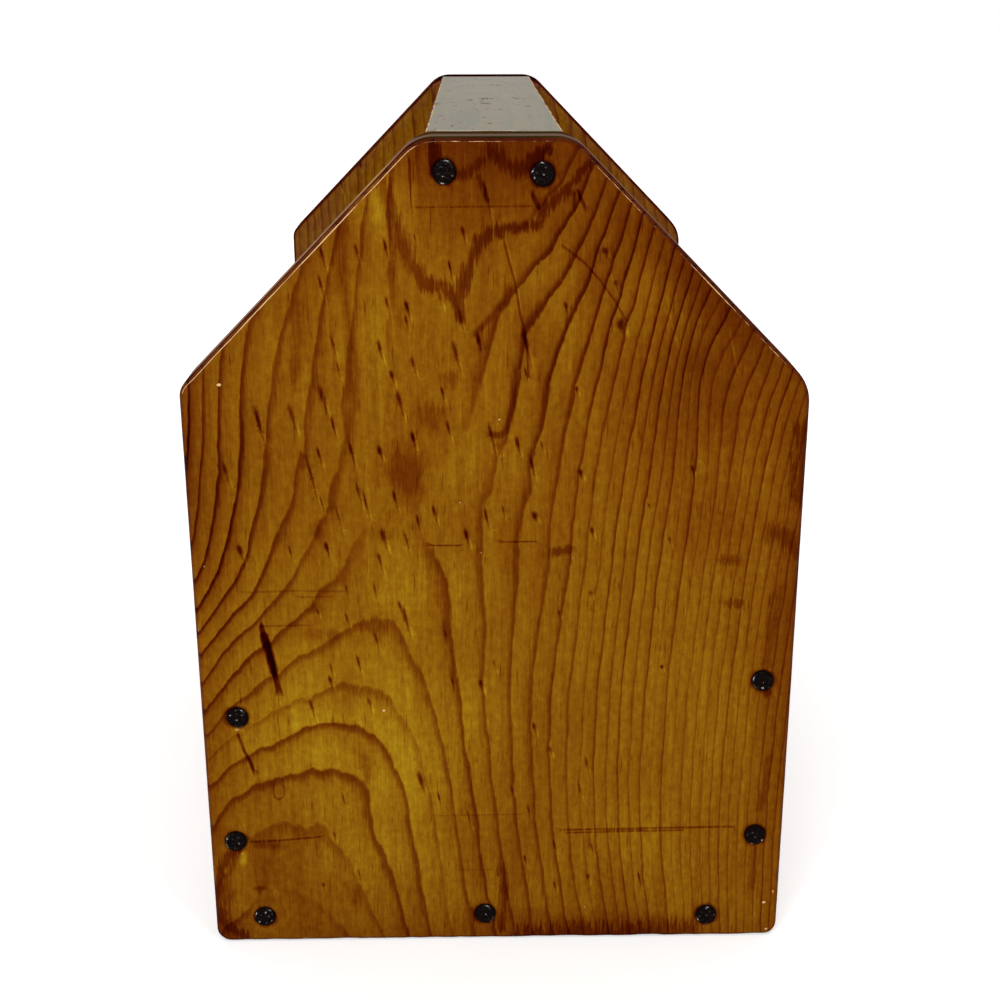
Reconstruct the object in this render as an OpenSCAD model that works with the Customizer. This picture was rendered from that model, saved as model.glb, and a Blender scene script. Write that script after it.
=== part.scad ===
// Open wooden tool caddy: a nailed board tray with two tall gabled ends and a flat bar handle between them.
// Millimetres, +Z up. The origin is at the middle of the underside.
// +Y runs along the tray from the front end to the rear end, and left and right are as seen from the front.

/* [End boards] */
// Width of each end board, and so of the whole caddy
end_w = 184; // [150:1:260]
// Height of each end board up to its flat top
end_h = 258; // [230:1:340]
// Height at which the upright edges turn in towards the top
shoulder_h = 187; // [140:1:200]
// Thickness of each end board
end_t = 19; // [12:0.5:25]
// Width of the flat top beyond each edge of the handle
top_margin = 1.5; // [0:0.5:20]
// Corner radius of the left shoulder
left_shoulder_r = 6; // [3:0.5:20]
// Corner radius of the right shoulder
right_shoulder_r = 14; // [3:0.5:20]
// Corner radius at both ends of the flat top
top_r = 12; // [3:0.5:16]
// Corner radius of the two lower corners
foot_r = 4.5; // [3:0.5:12]
// Rounding along the edges of the end boards' faces
end_edge_r = 1.5; // [0.5:0.1:2.5]

/* [Tray] */
// Length of the bottom, the sides and the handle, between the two end boards
inner_l = 279; // [240:1:420]
// Height of each side board
side_h = 89; // [70:1:120]
// Thickness of each side board
side_t = 19; // [12:0.5:25]
// Thickness of the bottom board
bottom_t = 19; // [12:0.5:25]
// Rounding along the long edges of the sides and the bottom
tray_edge_r = 1; // [0.5:0.1:2.5]

/* [Handle] */
// Width of the flat handle bar
handle_w = 41; // [30:1:60]
// Thickness of the handle bar
handle_t = 19; // [14:0.5:28]
// Rounding along the handle's long edges
handle_edge_r = 2.5; // [1:0.5:5]

/* [Nails] */
// Length of each nail under its head
nail_l = 63.5; // [50:0.5:70]
// Diameter of the shank
nail_d = 3.3; // [2.5:0.1:4]
// Length of the pointed tip
tip_l = 5; // [3:0.5:8]
// Diameter of the flat head
head_d = 7.1; // [6:0.1:9]
// Thickness of the head
head_t = 1.4; // [1:0.1:2]
// Bevel round the head's outer edge
head_bevel = 0.4; // [0.1:0.1:0.6]
// How far the heads in the end boards stand out of the wood
head_proud = 0.4; // [0.1:0.1:0.8]
// How deep the heads under the bottom board are set into the wood
floor_head_sunk = 0.5; // [0.2:0.1:2]
// Room round each nail in the hole that it has made
nail_fit = 0.05; // [0.02:0.01:0.2]
// Room between the floor nails at the ends of the row and the tips of the end nails
floor_nail_gap = 20; // [8:1:30]

/* [Front nail places] */
// Handle nails: distance in from the handle's left and right edges
front_handle_inset = [6.3, 7.2]; // [5:0.1:10]
// Handle nails: drift up from the middle of the handle's thickness, left and right
front_handle_rise = [0.2, -0.5]; // [-3:0.1:3]
// Side nails: drift to the right of mid-thickness, left lower, left upper, right lower and right upper
front_side_drift = [-1.4, 1.5, 0.8, 0.4]; // [-3:0.1:3]
// Lower side nails: height above the side's lower edge, left and right
front_side_up = [18.3, 18.7]; // [10:0.1:25]
// Upper side nails: depth below the side's top edge, left and right
front_side_down = [26.6, 15.6]; // [10:0.1:30]
// Outer bottom nails: distance in from the left and right edges of the end board
front_bottom_inset = [16, 23.4]; // [12:0.1:40]
// Middle bottom nail: distance to the right of the middle
front_bottom_middle = -4; // [-20:0.1:20]
// Bottom nails: drift up from the middle of the bottom's thickness, left, middle and right
front_bottom_rise = [-0.4, -0.2, -1.6]; // [-3:0.1:3]

/* [Rear nail places] */
// Handle nails: distance in from the handle's left and right edges
rear_handle_inset = [7.5, 6.6]; // [5:0.1:10]
// Handle nails: drift up from the middle of the handle's thickness, left and right
rear_handle_rise = [-0.6, 0.4]; // [-3:0.1:3]
// Side nails: drift to the right of mid-thickness, left lower, left upper, right lower and right upper
rear_side_drift = [0.7, -0.9, -1.2, 0.5]; // [-3:0.1:3]
// Lower side nails: height above the side's lower edge, left and right
rear_side_up = [17.6, 19.5]; // [10:0.1:25]
// Upper side nails: depth below the side's top edge, left and right
rear_side_down = [18.4, 22.7]; // [10:0.1:30]
// Outer bottom nails: distance in from the left and right edges of the end board
rear_bottom_inset = [20.5, 18]; // [12:0.1:40]
// Middle bottom nail: distance to the right of the middle
rear_bottom_middle = 3; // [-20:0.1:20]
// Bottom nails: drift up from the middle of the bottom's thickness, left, middle and right
rear_bottom_rise = [-0.8, 0.3, -0.5]; // [-3:0.1:3]

/* [Hidden] */
front = -1;
rear = 1;
left = -1;
right = 1;

overall_l = inner_l + 2 * end_t;
top_w = handle_w + 2 * top_margin;
side_x = (end_w - side_t) / 2;
handle_z = end_h - handle_t;
// Depth of an end nail's head in the wood
head_seat = head_t - head_proud;
// Extra length of a nail's hole beyond the head, so that it opens through the board's face
hole_over = 2 * floor_head_sunk;
floor_nail_y = inner_l / 2 - (nail_l + head_seat - end_t) - floor_nail_gap;

wood_colour = [0.58, 0.38, 0.08];
edge_wood_colour = [0.5, 0.31, 0.07];
nail_colour = [0.08, 0.08, 0.08];
// Sides of a full circle, and degrees between the points of a rounded rim
circle_steps = 32;
edge_step = 30;

// End board outline: [x, z, corner radius], anticlockwise from the lower left corner
end_corners = [
    [-end_w / 2, 0, foot_r],
    [end_w / 2, 0, foot_r],
    [end_w / 2, shoulder_h, right_shoulder_r],
    [top_w / 2, end_h, top_r],
    [-top_w / 2, end_h, top_r],
    [-end_w / 2, shoulder_h, left_shoulder_r]
];

function end_name(end) = end == front ? "front" : "rear";
function side_name(side) = side == left ? "left" : "right";
function pick(end, front_value, rear_value) = end == front ? front_value : rear_value;

// Each end nail is [name, end, x, z], with x and z at its axis on the end board's face
function handle_nails(end) =
    let (inset = pick(end, front_handle_inset, rear_handle_inset))
    let (rise = pick(end, front_handle_rise, rear_handle_rise))
    let (middle_z = handle_z + handle_t / 2)
    [
        [str(end_name(end), "_handle_nail_left"), end, inset[0] - handle_w / 2, middle_z + rise[0]],
        [str(end_name(end), "_handle_nail_right"), end, handle_w / 2 - inset[1], middle_z + rise[1]]
    ];

function side_nails(end, side) =
    let (drift = pick(end, front_side_drift, rear_side_drift))
    let (up = pick(end, front_side_up, rear_side_up))
    let (down = pick(end, front_side_down, rear_side_down))
    let (i = side == left ? 0 : 1)
    let (stem = str(end_name(end), "_", side_name(side), "_side_nail_"))
    [
        [str(stem, "lower"), end, side * side_x + drift[2 * i], bottom_t + up[i]],
        [str(stem, "upper"), end, side * side_x + drift[2 * i + 1], bottom_t + side_h - down[i]]
    ];

function bottom_nails(end) =
    let (inset = pick(end, front_bottom_inset, rear_bottom_inset))
    let (middle_x = pick(end, front_bottom_middle, rear_bottom_middle))
    let (rise = pick(end, front_bottom_rise, rear_bottom_rise))
    let (stem = str(end_name(end), "_bottom_nail_"))
    [
        [str(stem, "left"), end, inset[0] - end_w / 2, bottom_t / 2 + rise[0]],
        [str(stem, "middle"), end, middle_x, bottom_t / 2 + rise[1]],
        [str(stem, "right"), end, end_w / 2 - inset[1], bottom_t / 2 + rise[2]]
    ];

function end_nails(end) = concat(
    handle_nails(end), side_nails(end, left), side_nails(end, right), bottom_nails(end)
);

// Each floor nail is [name, x, y], driven up through the bottom board into a side
function floor_nails(side) = [
    for (place = [["front", -floor_nail_y], ["middle", 0], ["rear", floor_nail_y]])
        [str(side_name(side), "_floor_nail_", place[0]), side * side_x, place[1]]
];

all_end_nails = concat(end_nails(front), end_nails(rear));
all_floor_nails = concat(floor_nails(left), floor_nails(right));

// Centre of a circle of the given radius that touches both edges at a corner of the end board
function corner_centre(i) =
    let (count = len(end_corners))
    let (corner = end_corners[i])
    let (here = xz(corner))
    let (to_next = unit(xz(end_corners[(i + 1) % count]) - here))
    let (to_last = unit(xz(end_corners[(i + count - 1) % count]) - here))
    let (half_angle = acos(to_next * to_last) / 2)
    here + unit(to_next + to_last) * corner[2] / sin(half_angle);

function unit(v) = v / norm(v);
function xz(corner) = [corner[0], corner[1]];

// Half outline of a disc as thick as an end board, with its rim rounded on both faces
function disc_outline(r) = concat(
    [[0, 0]],
    [for (a = [-90 : edge_step : 0]) rim_point(r, end_edge_r, a)],
    [for (a = [0 : edge_step : 90]) rim_point(r, end_t - end_edge_r, a)],
    [[0, end_t]]
);
function rim_point(r, centre_z, a) = [r - end_edge_r, centre_z] + end_edge_r * [cos(a), sin(a)];

// A gabled board with every corner and edge rounded, and its rear face at the given y
module gabled_board(rear_face_y) {
    translate([0, rear_face_y, 0])
        rotate([90, 0, 0])
            hull()
                for (i = [0 : len(end_corners) - 1])
                    translate(corner_centre(i))
                        rotate_extrude($fn = circle_steps)
                            polygon(disc_outline(end_corners[i][2]));
}

// A board with its long edges rounded and square-cut ends, lying between the two end boards
module tray_board(w, h, edge_r) {
    rotate([90, 0, 0])
        linear_extrude(height = inner_l, center = true)
            eased_section(w, h, edge_r);
}

// A rectangle with rounded corners, centred on x and standing on y = 0
module eased_section(w, h, r) {
    translate([r - w / 2, 0])
        square([w - 2 * r, h]);
    translate([-w / 2, r])
        square([w, h - 2 * r]);
    for (x = [r - w / 2, w / 2 - r])
        for (y = [r, h - r])
            translate([x, y])
                circle(r, $fn = circle_steps);
}

// A nail along Z, with the underside of its head at z = 0 and its point downwards
module nail() {
    rotate_extrude($fn = circle_steps)
        polygon([
            [0, head_t],
            [head_d / 2 - head_bevel, head_t],
            [head_d / 2, head_t - head_bevel],
            [head_d / 2, 0],
            [nail_d / 2, 0],
            [nail_d / 2, tip_l - nail_l],
            [0, -nail_l]
        ]);
}

// The hole that a nail makes, with its room all round
module nail_hole() {
    rotate_extrude($fn = circle_steps)
        polygon([
            [0, head_t + hole_over],
            [head_d / 2 + nail_fit, head_t + hole_over],
            [head_d / 2 + nail_fit, 0],
            [nail_d / 2 + nail_fit, 0],
            [nail_d / 2 + nail_fit, tip_l - nail_l],
            [0, -nail_l - nail_fit]
        ]);
}

// Sets a nail or its hole at an end nail's place
module at_end_nail(nail) {
    end = nail[1];
    translate([nail[2], end * (overall_l / 2 - head_seat), nail[3]])
        rotate([-90 * end, 0, 0])
            children();
}

// Sets a nail or its hole at a floor nail's place
module at_floor_nail(nail) {
    translate([nail[1], nail[2], floor_head_sunk + head_t])
        rotate([180, 0, 0])
            children();
}

module end_nail_holes(nails) {
    for (nail = nails)
        at_end_nail(nail)
            nail_hole();
}

module floor_nail_holes(nails) {
    for (nail = nails)
        at_floor_nail(nail)
            nail_hole();
}

module front_end() {
    color(wood_colour)
        difference() {
            gabled_board(-inner_l / 2);
            end_nail_holes(end_nails(front));
        }
}

module rear_end() {
    color(wood_colour)
        difference() {
            gabled_board(overall_l / 2);
            end_nail_holes(end_nails(rear));
        }
}

module side_board(side) {
    color(edge_wood_colour)
        difference() {
            translate([side * side_x, 0, bottom_t])
                tray_board(side_t, side_h, tray_edge_r);
            end_nail_holes(side_nails(front, side));
            end_nail_holes(side_nails(rear, side));
            floor_nail_holes(floor_nails(side));
        }
}

module bottom() {
    color(edge_wood_colour)
        difference() {
            tray_board(end_w, bottom_t, tray_edge_r);
            end_nail_holes(bottom_nails(front));
            end_nail_holes(bottom_nails(rear));
            floor_nail_holes(all_floor_nails);
        }
}

module handle() {
    color(wood_colour)
        difference() {
            translate([0, 0, handle_z])
                tray_board(handle_w, handle_t, handle_edge_r);
            end_nail_holes(handle_nails(front));
            end_nail_holes(handle_nails(rear));
        }
}

module end_nail(place) {
    color(nail_colour)
        at_end_nail(place)
            nail();
}

module floor_nail(place) {
    color(nail_colour)
        at_floor_nail(place)
            nail();
}

front_end();
rear_end();
side_board(left);  // left_side
side_board(right);  // right_side
bottom();
handle();
for (place = all_end_nails)
    end_nail(place);
for (place = all_floor_nails)
    floor_nail(place);
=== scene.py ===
"""Varnished pine tool caddy: six nailed boards, their nails and a plain studio stage."""

import math
import random
from dataclasses import dataclass

import bmesh
import bpy
import numpy as np
from bpy.props import FloatProperty, FloatVectorProperty, PointerProperty
from bpy.types import Operator, Panel, PropertyGroup
from mathutils import Matrix, Vector, noise
from mathutils.geometry import delaunay_2d_cdt


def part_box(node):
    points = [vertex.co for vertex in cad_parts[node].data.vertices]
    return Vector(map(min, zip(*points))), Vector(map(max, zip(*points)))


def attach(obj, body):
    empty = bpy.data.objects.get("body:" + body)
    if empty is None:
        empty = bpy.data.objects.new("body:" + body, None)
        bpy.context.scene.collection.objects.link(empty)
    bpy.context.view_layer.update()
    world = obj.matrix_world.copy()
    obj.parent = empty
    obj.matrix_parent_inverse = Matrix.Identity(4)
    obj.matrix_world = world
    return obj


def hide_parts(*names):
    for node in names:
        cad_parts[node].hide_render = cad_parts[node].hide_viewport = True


bl_info = {
    "name": "Varnished Tool Caddy",
    "version": (1, 0, 0),
    "blender": (4, 5, 0),
    "location": "View3D > Sidebar > Tool Caddy",
    "description": "Builds a nailed pine tool caddy with amber varnish around its packed frame",
    "category": "Add Mesh",
}

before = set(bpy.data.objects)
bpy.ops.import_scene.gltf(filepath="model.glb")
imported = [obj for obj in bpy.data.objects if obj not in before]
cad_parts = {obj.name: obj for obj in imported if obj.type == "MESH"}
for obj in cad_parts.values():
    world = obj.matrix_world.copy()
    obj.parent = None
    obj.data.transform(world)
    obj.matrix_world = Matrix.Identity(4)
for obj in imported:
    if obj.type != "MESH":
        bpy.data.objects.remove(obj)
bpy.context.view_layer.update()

# Lengths inside this script are in millimetres, as a joiner would give them
MM = 0.001
PER_METRE = 1000.0
BODY = "root"
AXIS_NUMBER = {"x": 0, "y": 1, "z": 2}

# Spacing of mesh points round a corner and along a drawn line, and the grid that merges points of marks
CORNER_STEP = 0.9
LINE_STEP = 0.6
MERGE_STEP = 0.06
# Height of a row in a staggered grid, as a share of its step, and how near marks come to a face's border
ROW_SHARE = 0.866
BORDER_ROOM = 0.4
# A corner is this much rounder than the arris round it, so that the arris doesn't fold
CORNER_ROOM = 1.05
# A nail head lies within this distance of the face that it was driven through
HEAD_GAP = 1.0
# Marks on an outer face fade out between these depths below it
MARK_FADE = (1.0, 3.0)
# An edge counts as the top end of its board where its facing along the grain passes these
TOP_FACING = (0.8, 0.95)
# Lengths of the soft planing waves, across and along the grain
PLANING_WAVE = (34.0, 60.0)

# Sizes of a nail, and where its head's rings lie as shares of the flat top and angles round the rim
HEAD_RADIUS = 3.45
HEAD_THICKNESS = 1.4
SHANK_RADIUS = 1.65
TIP_LENGTH = 5.0
HEAD_RINGS = (0.08, 0.16, 0.25, 0.34, 0.43, 0.52, 0.61, 0.7, 0.79, 0.87, 0.94, 1.0)
RIM_ANGLES = (0.35, 0.75, 1.15, math.pi / 2)
NAIL_SEGMENTS = 48
# The first seed of each group of nails
END_NAIL_SEED = 101
FLOOR_NAIL_SEED = 201

# Width of the camera's sensor
SENSOR_WIDTH = 36.0

# Lamps: name, place, target, width and height in metres, and the setting that holds the power
FRONT_MIDDLE = (0.0, -0.16, 0.13)
HANDLE_MIDDLE = (0.0, 0.0, 0.2)
LAMPS = (
    ("key_lamp", (-0.5, -1.6, 1.6), FRONT_MIDDLE, 1.3, 1.3, "key_power"),
    ("rim_lamp", (0.35, 1.3, 1.2), HANDLE_MIDDLE, 1.0, 0.7, "rim_power"),
    ("left_glint_lamp", (-0.45, -1.1, 0.75), FRONT_MIDDLE, 0.07, 0.07, "glint_power"),
    ("right_glint_lamp", (0.55, -1.0, 0.65), FRONT_MIDDLE, 0.07, 0.07, "glint_power"),
)


# Settings

def length(name, description, default, low=0.0, high=1.0):
    """A length in metres that the sidebar shows in the scene's units."""
    return FloatProperty(
        name=name, description=description, default=default, min=low, max=high,
        precision=5, subtype="DISTANCE", unit="LENGTH",
    )


def colour(name, description, default):
    """A linear colour."""
    return FloatVectorProperty(
        name=name, description=description, default=default, size=3, min=0.0, max=1.0, subtype="COLOR",
    )


def share(name, description, default, low=0.0, high=1.0):
    """A plain number such as a strength or a roughness."""
    return FloatProperty(name=name, description=description, default=default, min=low, max=high)


def power(name, description, default):
    """A lamp's power in watts."""
    return FloatProperty(name=name, description=description, default=default, min=0.0, unit="POWER")


def angle(name, description, degrees):
    """An angle, given in degrees."""
    return FloatProperty(
        name=name, description=description, default=math.radians(degrees), subtype="ANGLE", unit="ROTATION",
    )


class CaddyBoardSettings(PropertyGroup):
    """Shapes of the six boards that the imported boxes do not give."""

    shoulder_height: length("Shoulder height", "Height at which an end board starts to slope inwards", 0.187)
    top_width: length("Top width", "Width of an end board's flat top", 0.044)
    left_shoulder_round: length("Left shoulder rounding", "Corner radius at the left shoulder", 0.006)
    right_shoulder_round: length("Right shoulder rounding", "Corner radius at the right shoulder", 0.014)
    top_round: length("Top rounding", "Corner radius at both top corners", 0.012)
    foot_round: length("Foot rounding", "Corner radius at both bottom corners", 0.0045)
    end_arris: length("End arris", "Rounding along the edges of the end boards", 0.0013, 0.0002, 0.004)
    tray_arris: length("Tray arris", "Rounding along the edges of the sides and the bottom",
                       0.001, 0.0002, 0.004)
    handle_arris: length("Handle arris", "Rounding along the edges of the handle bar",
                         0.0013, 0.0002, 0.006)
    face_step: length("Face step", "Spacing of the mesh points over an outer face", 0.003, 0.001, 0.01)
    planing: length("Planing marks", "Height of the soft waves that hand planing leaves",
                    0.00006, 0.0, 0.0005)
    edge_loss: length("Edge loss", "Deepest knock along an arris", 0.0006, 0.0, 0.002)
    crater_depth: length("Crater depth", "How deep the hammer pressed the wood round a nail head",
                         0.0004, 0.0, 0.001)
    crater_width: length("Crater width", "Reach of the pressed wood beyond a nail head",
                         0.0026, 0.0005, 0.006)


class CaddyWoodSettings(PropertyGroup):
    """Colour of the varnished pine: a palest wood, and how deep each part of the grain stains it."""

    early_colour: colour("Palest wood", "Clear early wood under amber varnish", (0.275, 0.138, 0.0048))
    fade: FloatVectorProperty(
        name="Fade", description="How fast red, green and blue fall as the wood deepens",
        default=(0.92, 1.78, 1.5), size=3,
    )
    line_depth: share("Ring line", "Depth of the dark line that ends a growth ring", 0.9, 0.0, 3.0)
    shade_depth: share("Ring shade", "Depth of the soft shade before that line", 0.3, 0.0, 3.0)
    hair_depth: share("Fibre", "Depth of the finest fibre lines", 0.42, 0.0, 3.0)
    mottle_depth: share("Mottle", "Depth of the fine unevenness of the varnish", 0.8, 0.0, 3.0)
    pore_depth: share("Pores", "Depth of the short dark pores", 0.45, 0.0, 3.0)
    dimple_depth: share("Dimples", "Depth of the dimple cores on the plain boards", 1.1, 0.0, 3.0)
    stain_depth: share("Nail stain", "Depth of the stain round the nail heads", 0.9, 0.0, 3.0)
    pencil_depth: share("Pencil", "Depth of the layout lines", 1.0, 0.0, 3.0)
    # This pale colour also paints the highlight along the lips of the edges
    worn_and_highlight_colour: colour("Worn edge", "Bare wood where the varnish has rubbed off", (0.64, 0.42, 0.19))
    # The grime colour is also a painted sheen of light glancing off the top faces
    grime_and_sheen_colour: colour("Grime", "Dull film on a handled top face", (0.065, 0.08, 0.015))
    speck_colour: colour("Grime speck", "Dark specks in that film", (0.02, 0.014, 0.008))


class CaddyNailSettings(PropertyGroup):
    """Looks of the blackened nails."""

    metal_colour: colour("Black metal", "Blackened steel", (0.0035, 0.002, 0.0017))
    # The glint colour is a painted highlight on the rim and the hammer marks of each head
    glint_colour: colour("Bright metal", "Steel that the hammer has polished", (0.5, 0.49, 0.46))
    rust_colour: colour("Rust", "Brown bloom in the hammer marks", (0.018, 0.007, 0.005))
    head_round: length("Head rounding", "Rounding of a head's rim", 0.00055, 0.0001, 0.0007)
    mark_depth: length("Hammer mark depth", "Depth of the chequered hammer marks", 0.00026, 0.0, 0.0004)
    mark_pitch: length("Hammer mark pitch", "Spacing of the chequered hammer marks", 0.0013, 0.0005, 0.004)


class CaddyStageSettings(PropertyGroup):
    """Floor, light and camera."""

    floor_colour: colour("Floor", "Pale studio floor", (0.86, 0.86, 0.86))
    floor_glow: share("Floor glow",
                      "White added to the floor near the object, for the camera and reflections", 0.3)
    far_glow: share("Far floor glow", "White added to the floor away from the object", 0.55)
    sky_light: share("Sky light", "Strength of the soft white surround", 0.62, 0.0, 2.0)
    key_power: power("Key light", "Power of the large front lamp", 21.0)
    rim_power: power("Rim light", "Power of the lamp above and behind", 9.0)
    glint_power: power("Glint light", "Power of each small lamp that glints on the nails", 1.6)
    camera_place: FloatVectorProperty(
        name="Camera place", description="Where the camera stands", default=(-0.00601, -0.58804, 0.29774),
        subtype="TRANSLATION", unit="LENGTH",
    )
    camera_pitch: angle("Camera pitch", "How far the camera looks down", 18.675)
    camera_yaw: angle("Camera yaw", "Turn of the camera to the left", -0.955)
    camera_roll: angle("Camera roll", "Tilt of the camera", -0.117)
    camera_lens: FloatProperty(
        name="Lens", description="Focal length in millimetres on a 36 mm sensor", default=54.82,
        min=10.0, max=200.0, subtype="DISTANCE_CAMERA", unit="CAMERA",
    )


# Board shapes

class Board:
    """Where one board lies: the frame axes across it, along its grain and through it from its outer face."""

    def __init__(self, node, axes, outer):
        low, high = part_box(node)
        self.node = node
        self.low = [value * PER_METRE for value in low]
        self.high = [value * PER_METRE for value in high]
        self.across, self.along, self.through = (AXIS_NUMBER[letter] for letter in axes)
        self.thickness = self.high[self.through] - self.low[self.through]
        self.face = self.low[self.through] if outer == "low" else self.high[self.through]
        self.inward = 1.0 if outer == "low" else -1.0

    def place(self, across, along, depth):
        """A point of the board in the frame, in metres."""
        point = [0.0, 0.0, 0.0]
        point[self.across] = across * MM
        point[self.along] = along * MM
        point[self.through] = (self.face + self.inward * depth) * MM
        return point

    def nails(self):
        """Centres (across, along) of the nail heads that lie on the outer face."""
        found = []
        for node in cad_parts:
            if "_nail_" not in node:
                continue
            low, high = (Vector(corner) * PER_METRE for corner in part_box(node))
            gap = min(abs(low[self.through] - self.face), abs(high[self.through] - self.face))
            if gap < HEAD_GAP:
                middle = (low + high) / 2
                found.append((middle[self.across], middle[self.along]))
        return found


def rounded_outline(corners, spacing):
    """Points and outward normals round a convex outline of (across, along, radius) corners, anticlockwise."""
    arcs = []
    count = len(corners)
    for index, (across, along, radius) in enumerate(corners):
        here = Vector((across, along))
        before = Vector(corners[index - 1][:2])
        after = Vector(corners[(index + 1) % count][:2])
        into = (here - before).normalized()
        out = (after - here).normalized()
        turn = math.atan2(into.x * out.y - into.y * out.x, into.dot(out))
        start_normal = Vector((into.y, -into.x))
        centre = here - into * radius * math.tan(turn / 2) - start_normal * radius
        steps = max(4, round(turn * radius / CORNER_STEP))
        arc = []
        for step in range(steps + 1):
            part = turn * step / steps
            normal = Vector((
                start_normal.x * math.cos(part) - start_normal.y * math.sin(part),
                start_normal.x * math.sin(part) + start_normal.y * math.cos(part),
            ))
            arc.append((centre + normal * radius, normal))
        arcs.append(arc)
    samples = []
    for index, arc in enumerate(arcs):
        samples.extend(arc)
        last_point, last_normal = arc[-1]
        next_point = arcs[(index + 1) % count][0][0]
        pieces = max(1, round((next_point - last_point).length / spacing))
        for piece in range(1, pieces):
            samples.append((last_point.lerp(next_point, piece / pieces), last_normal))
    points = np.array([tuple(point) for point, _ in samples])
    normals = np.array([tuple(normal) for _, normal in samples])
    return points, normals


def soft_step(value, low, high):
    """0 below low, 1 above high, smooth between."""
    part = np.clip((value - low) / (high - low), 0.0, 1.0)
    return part * part * (3.0 - 2.0 * part)


def noise_at(across, along, scale_across, scale_along, seed):
    """Smooth noise from -1 to 1 at each pair of the two arrays."""
    return np.array([
        noise.noise(Vector((a / scale_across, b / scale_along, seed)))
        for a, b in zip(across, along)
    ])


class Spot:
    """A leaning oval on a face where the wood changes, with rings of mesh points of its own."""

    def __init__(self, across, along, half_length, half_width, depth, lean=12.0, core=0.3, shift=0.0,
                 rings=(0.0, 0.4, 0.75, 1.05), points=10):
        self.centre = np.array([across, along])
        self.half_length = half_length
        self.half_width = half_width
        self.depth = depth
        self.core = core
        self.shift = shift
        self.ragged = min(1.5, half_width * 0.5)
        self.rings = rings
        self.points = points
        self.side = np.array([math.cos(math.radians(lean)), math.sin(math.radians(lean))])
        self.up = np.array([-self.side[1], self.side[0]])

    def at(self, u, v):
        """The point at shares of the half width and half length."""
        return self.centre + self.side * u * self.half_width + self.up * v * self.half_length

    def reach(self, across, along):
        """0 in the middle, 1 on the oval."""
        da = across - self.centre[0]
        dl = along - self.centre[1]
        u = (da * self.side[0] + dl * self.side[1]) / self.half_width
        v = (da * self.up[0] + dl * self.up[1]) / self.half_length
        return np.hypot(u, v)

    def strength(self, across, along):
        return 1.0 - soft_step(self.reach(across, along), self.core, 1.05)

    def clear(self, across, along):
        """Which points lie outside the spot's own mesh points."""
        return self.reach(across, along) > self.rings[-1] + 0.25

    def mesh_points(self):
        made = []
        for number, ring in enumerate(self.rings):
            for step in range(self.points if ring else 1):
                turn = 2 * math.pi * (step + 0.5 * (number % 2)) / self.points
                made.append(self.at(ring * math.cos(turn), ring * math.sin(turn)))
        return made


class Stroke:
    """A line drawn through points of a face, solid to its half width and fading out beyond."""

    def __init__(self, points, half_width, soft, depth):
        self.points = np.array(points, dtype=float)
        self.half_width = half_width
        self.soft = soft
        self.depth = depth
        self.shift = 0.0
        self.ragged = 0.5 * half_width + 0.3 * soft

    def distance(self, across, along):
        best = np.full(len(across), np.inf)
        for start, end in zip(self.points, self.points[1:]):
            way = end - start
            part = ((across - start[0]) * way[0] + (along - start[1]) * way[1]) / (way @ way)
            part = np.clip(part, 0.0, 1.0)
            gap = np.hypot(across - start[0] - part * way[0], along - start[1] - part * way[1])
            best = np.minimum(best, gap)
        return best

    def strength(self, across, along):
        return 1.0 - soft_step(self.distance(across, along), self.half_width, self.half_width + self.soft)

    def clear(self, across, along):
        """Which points lie outside the line's own mesh points."""
        return self.distance(across, along) > self.half_width + self.soft + 0.4

    def mesh_points(self):
        edge = self.half_width + self.soft
        offsets = (-edge, -(edge + self.half_width) / 2, -self.half_width, 0.0,
                   self.half_width, (edge + self.half_width) / 2, edge)
        made = []
        for start, end in zip(self.points, self.points[1:]):
            way = end - start
            run = np.hypot(*way)
            side = np.array([-way[1], way[0]]) / run
            steps = max(1, round(run / LINE_STEP))
            for step in range(steps + 1):
                middle = start + way * step / steps
                made.extend(middle + side * offset for offset in offsets)
        return made


def inside_outline(points, outline, normals, margin):
    """Which points lie inside a convex outline by at least the margin."""
    offsets = (points[:, None, :] - outline[None, :, :]) * normals[None, :, :]
    return offsets.sum(2).max(1) < -margin


def edge_distance(points, outline):
    """Distance of each point from the nearest outline sample."""
    gaps = points[:, None, :] - outline[None, :, :]
    return np.sqrt((gaps * gaps).sum(2)).min(1)


def face_points(outline, normals, step, features):
    """Staggered grid points over a face, with each feature's own points in place of the grid there."""
    low = outline.min(0)
    high = outline.max(0)
    rows = np.arange(low[1] + step / 2, high[1], step * ROW_SHARE)
    grid = []
    for number, along in enumerate(rows):
        start = low[0] + step * (0.25 if number % 2 else 0.75)
        grid.extend((across, along) for across in np.arange(start, high[0], step))
    grid = np.array(grid)
    grid = grid[inside_outline(grid, outline, normals, step * 0.5)]
    for feature in features:
        grid = grid[feature.clear(grid[:, 0], grid[:, 1])]
    extra = [point for feature in features for point in feature.mesh_points()]
    if not extra:
        return grid
    extra = np.unique(np.round(np.array(extra) / MERGE_STEP) * MERGE_STEP, axis=0)
    extra = extra[inside_outline(extra, outline, normals, BORDER_ROOM)]
    return np.concatenate([grid, extra])


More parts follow.
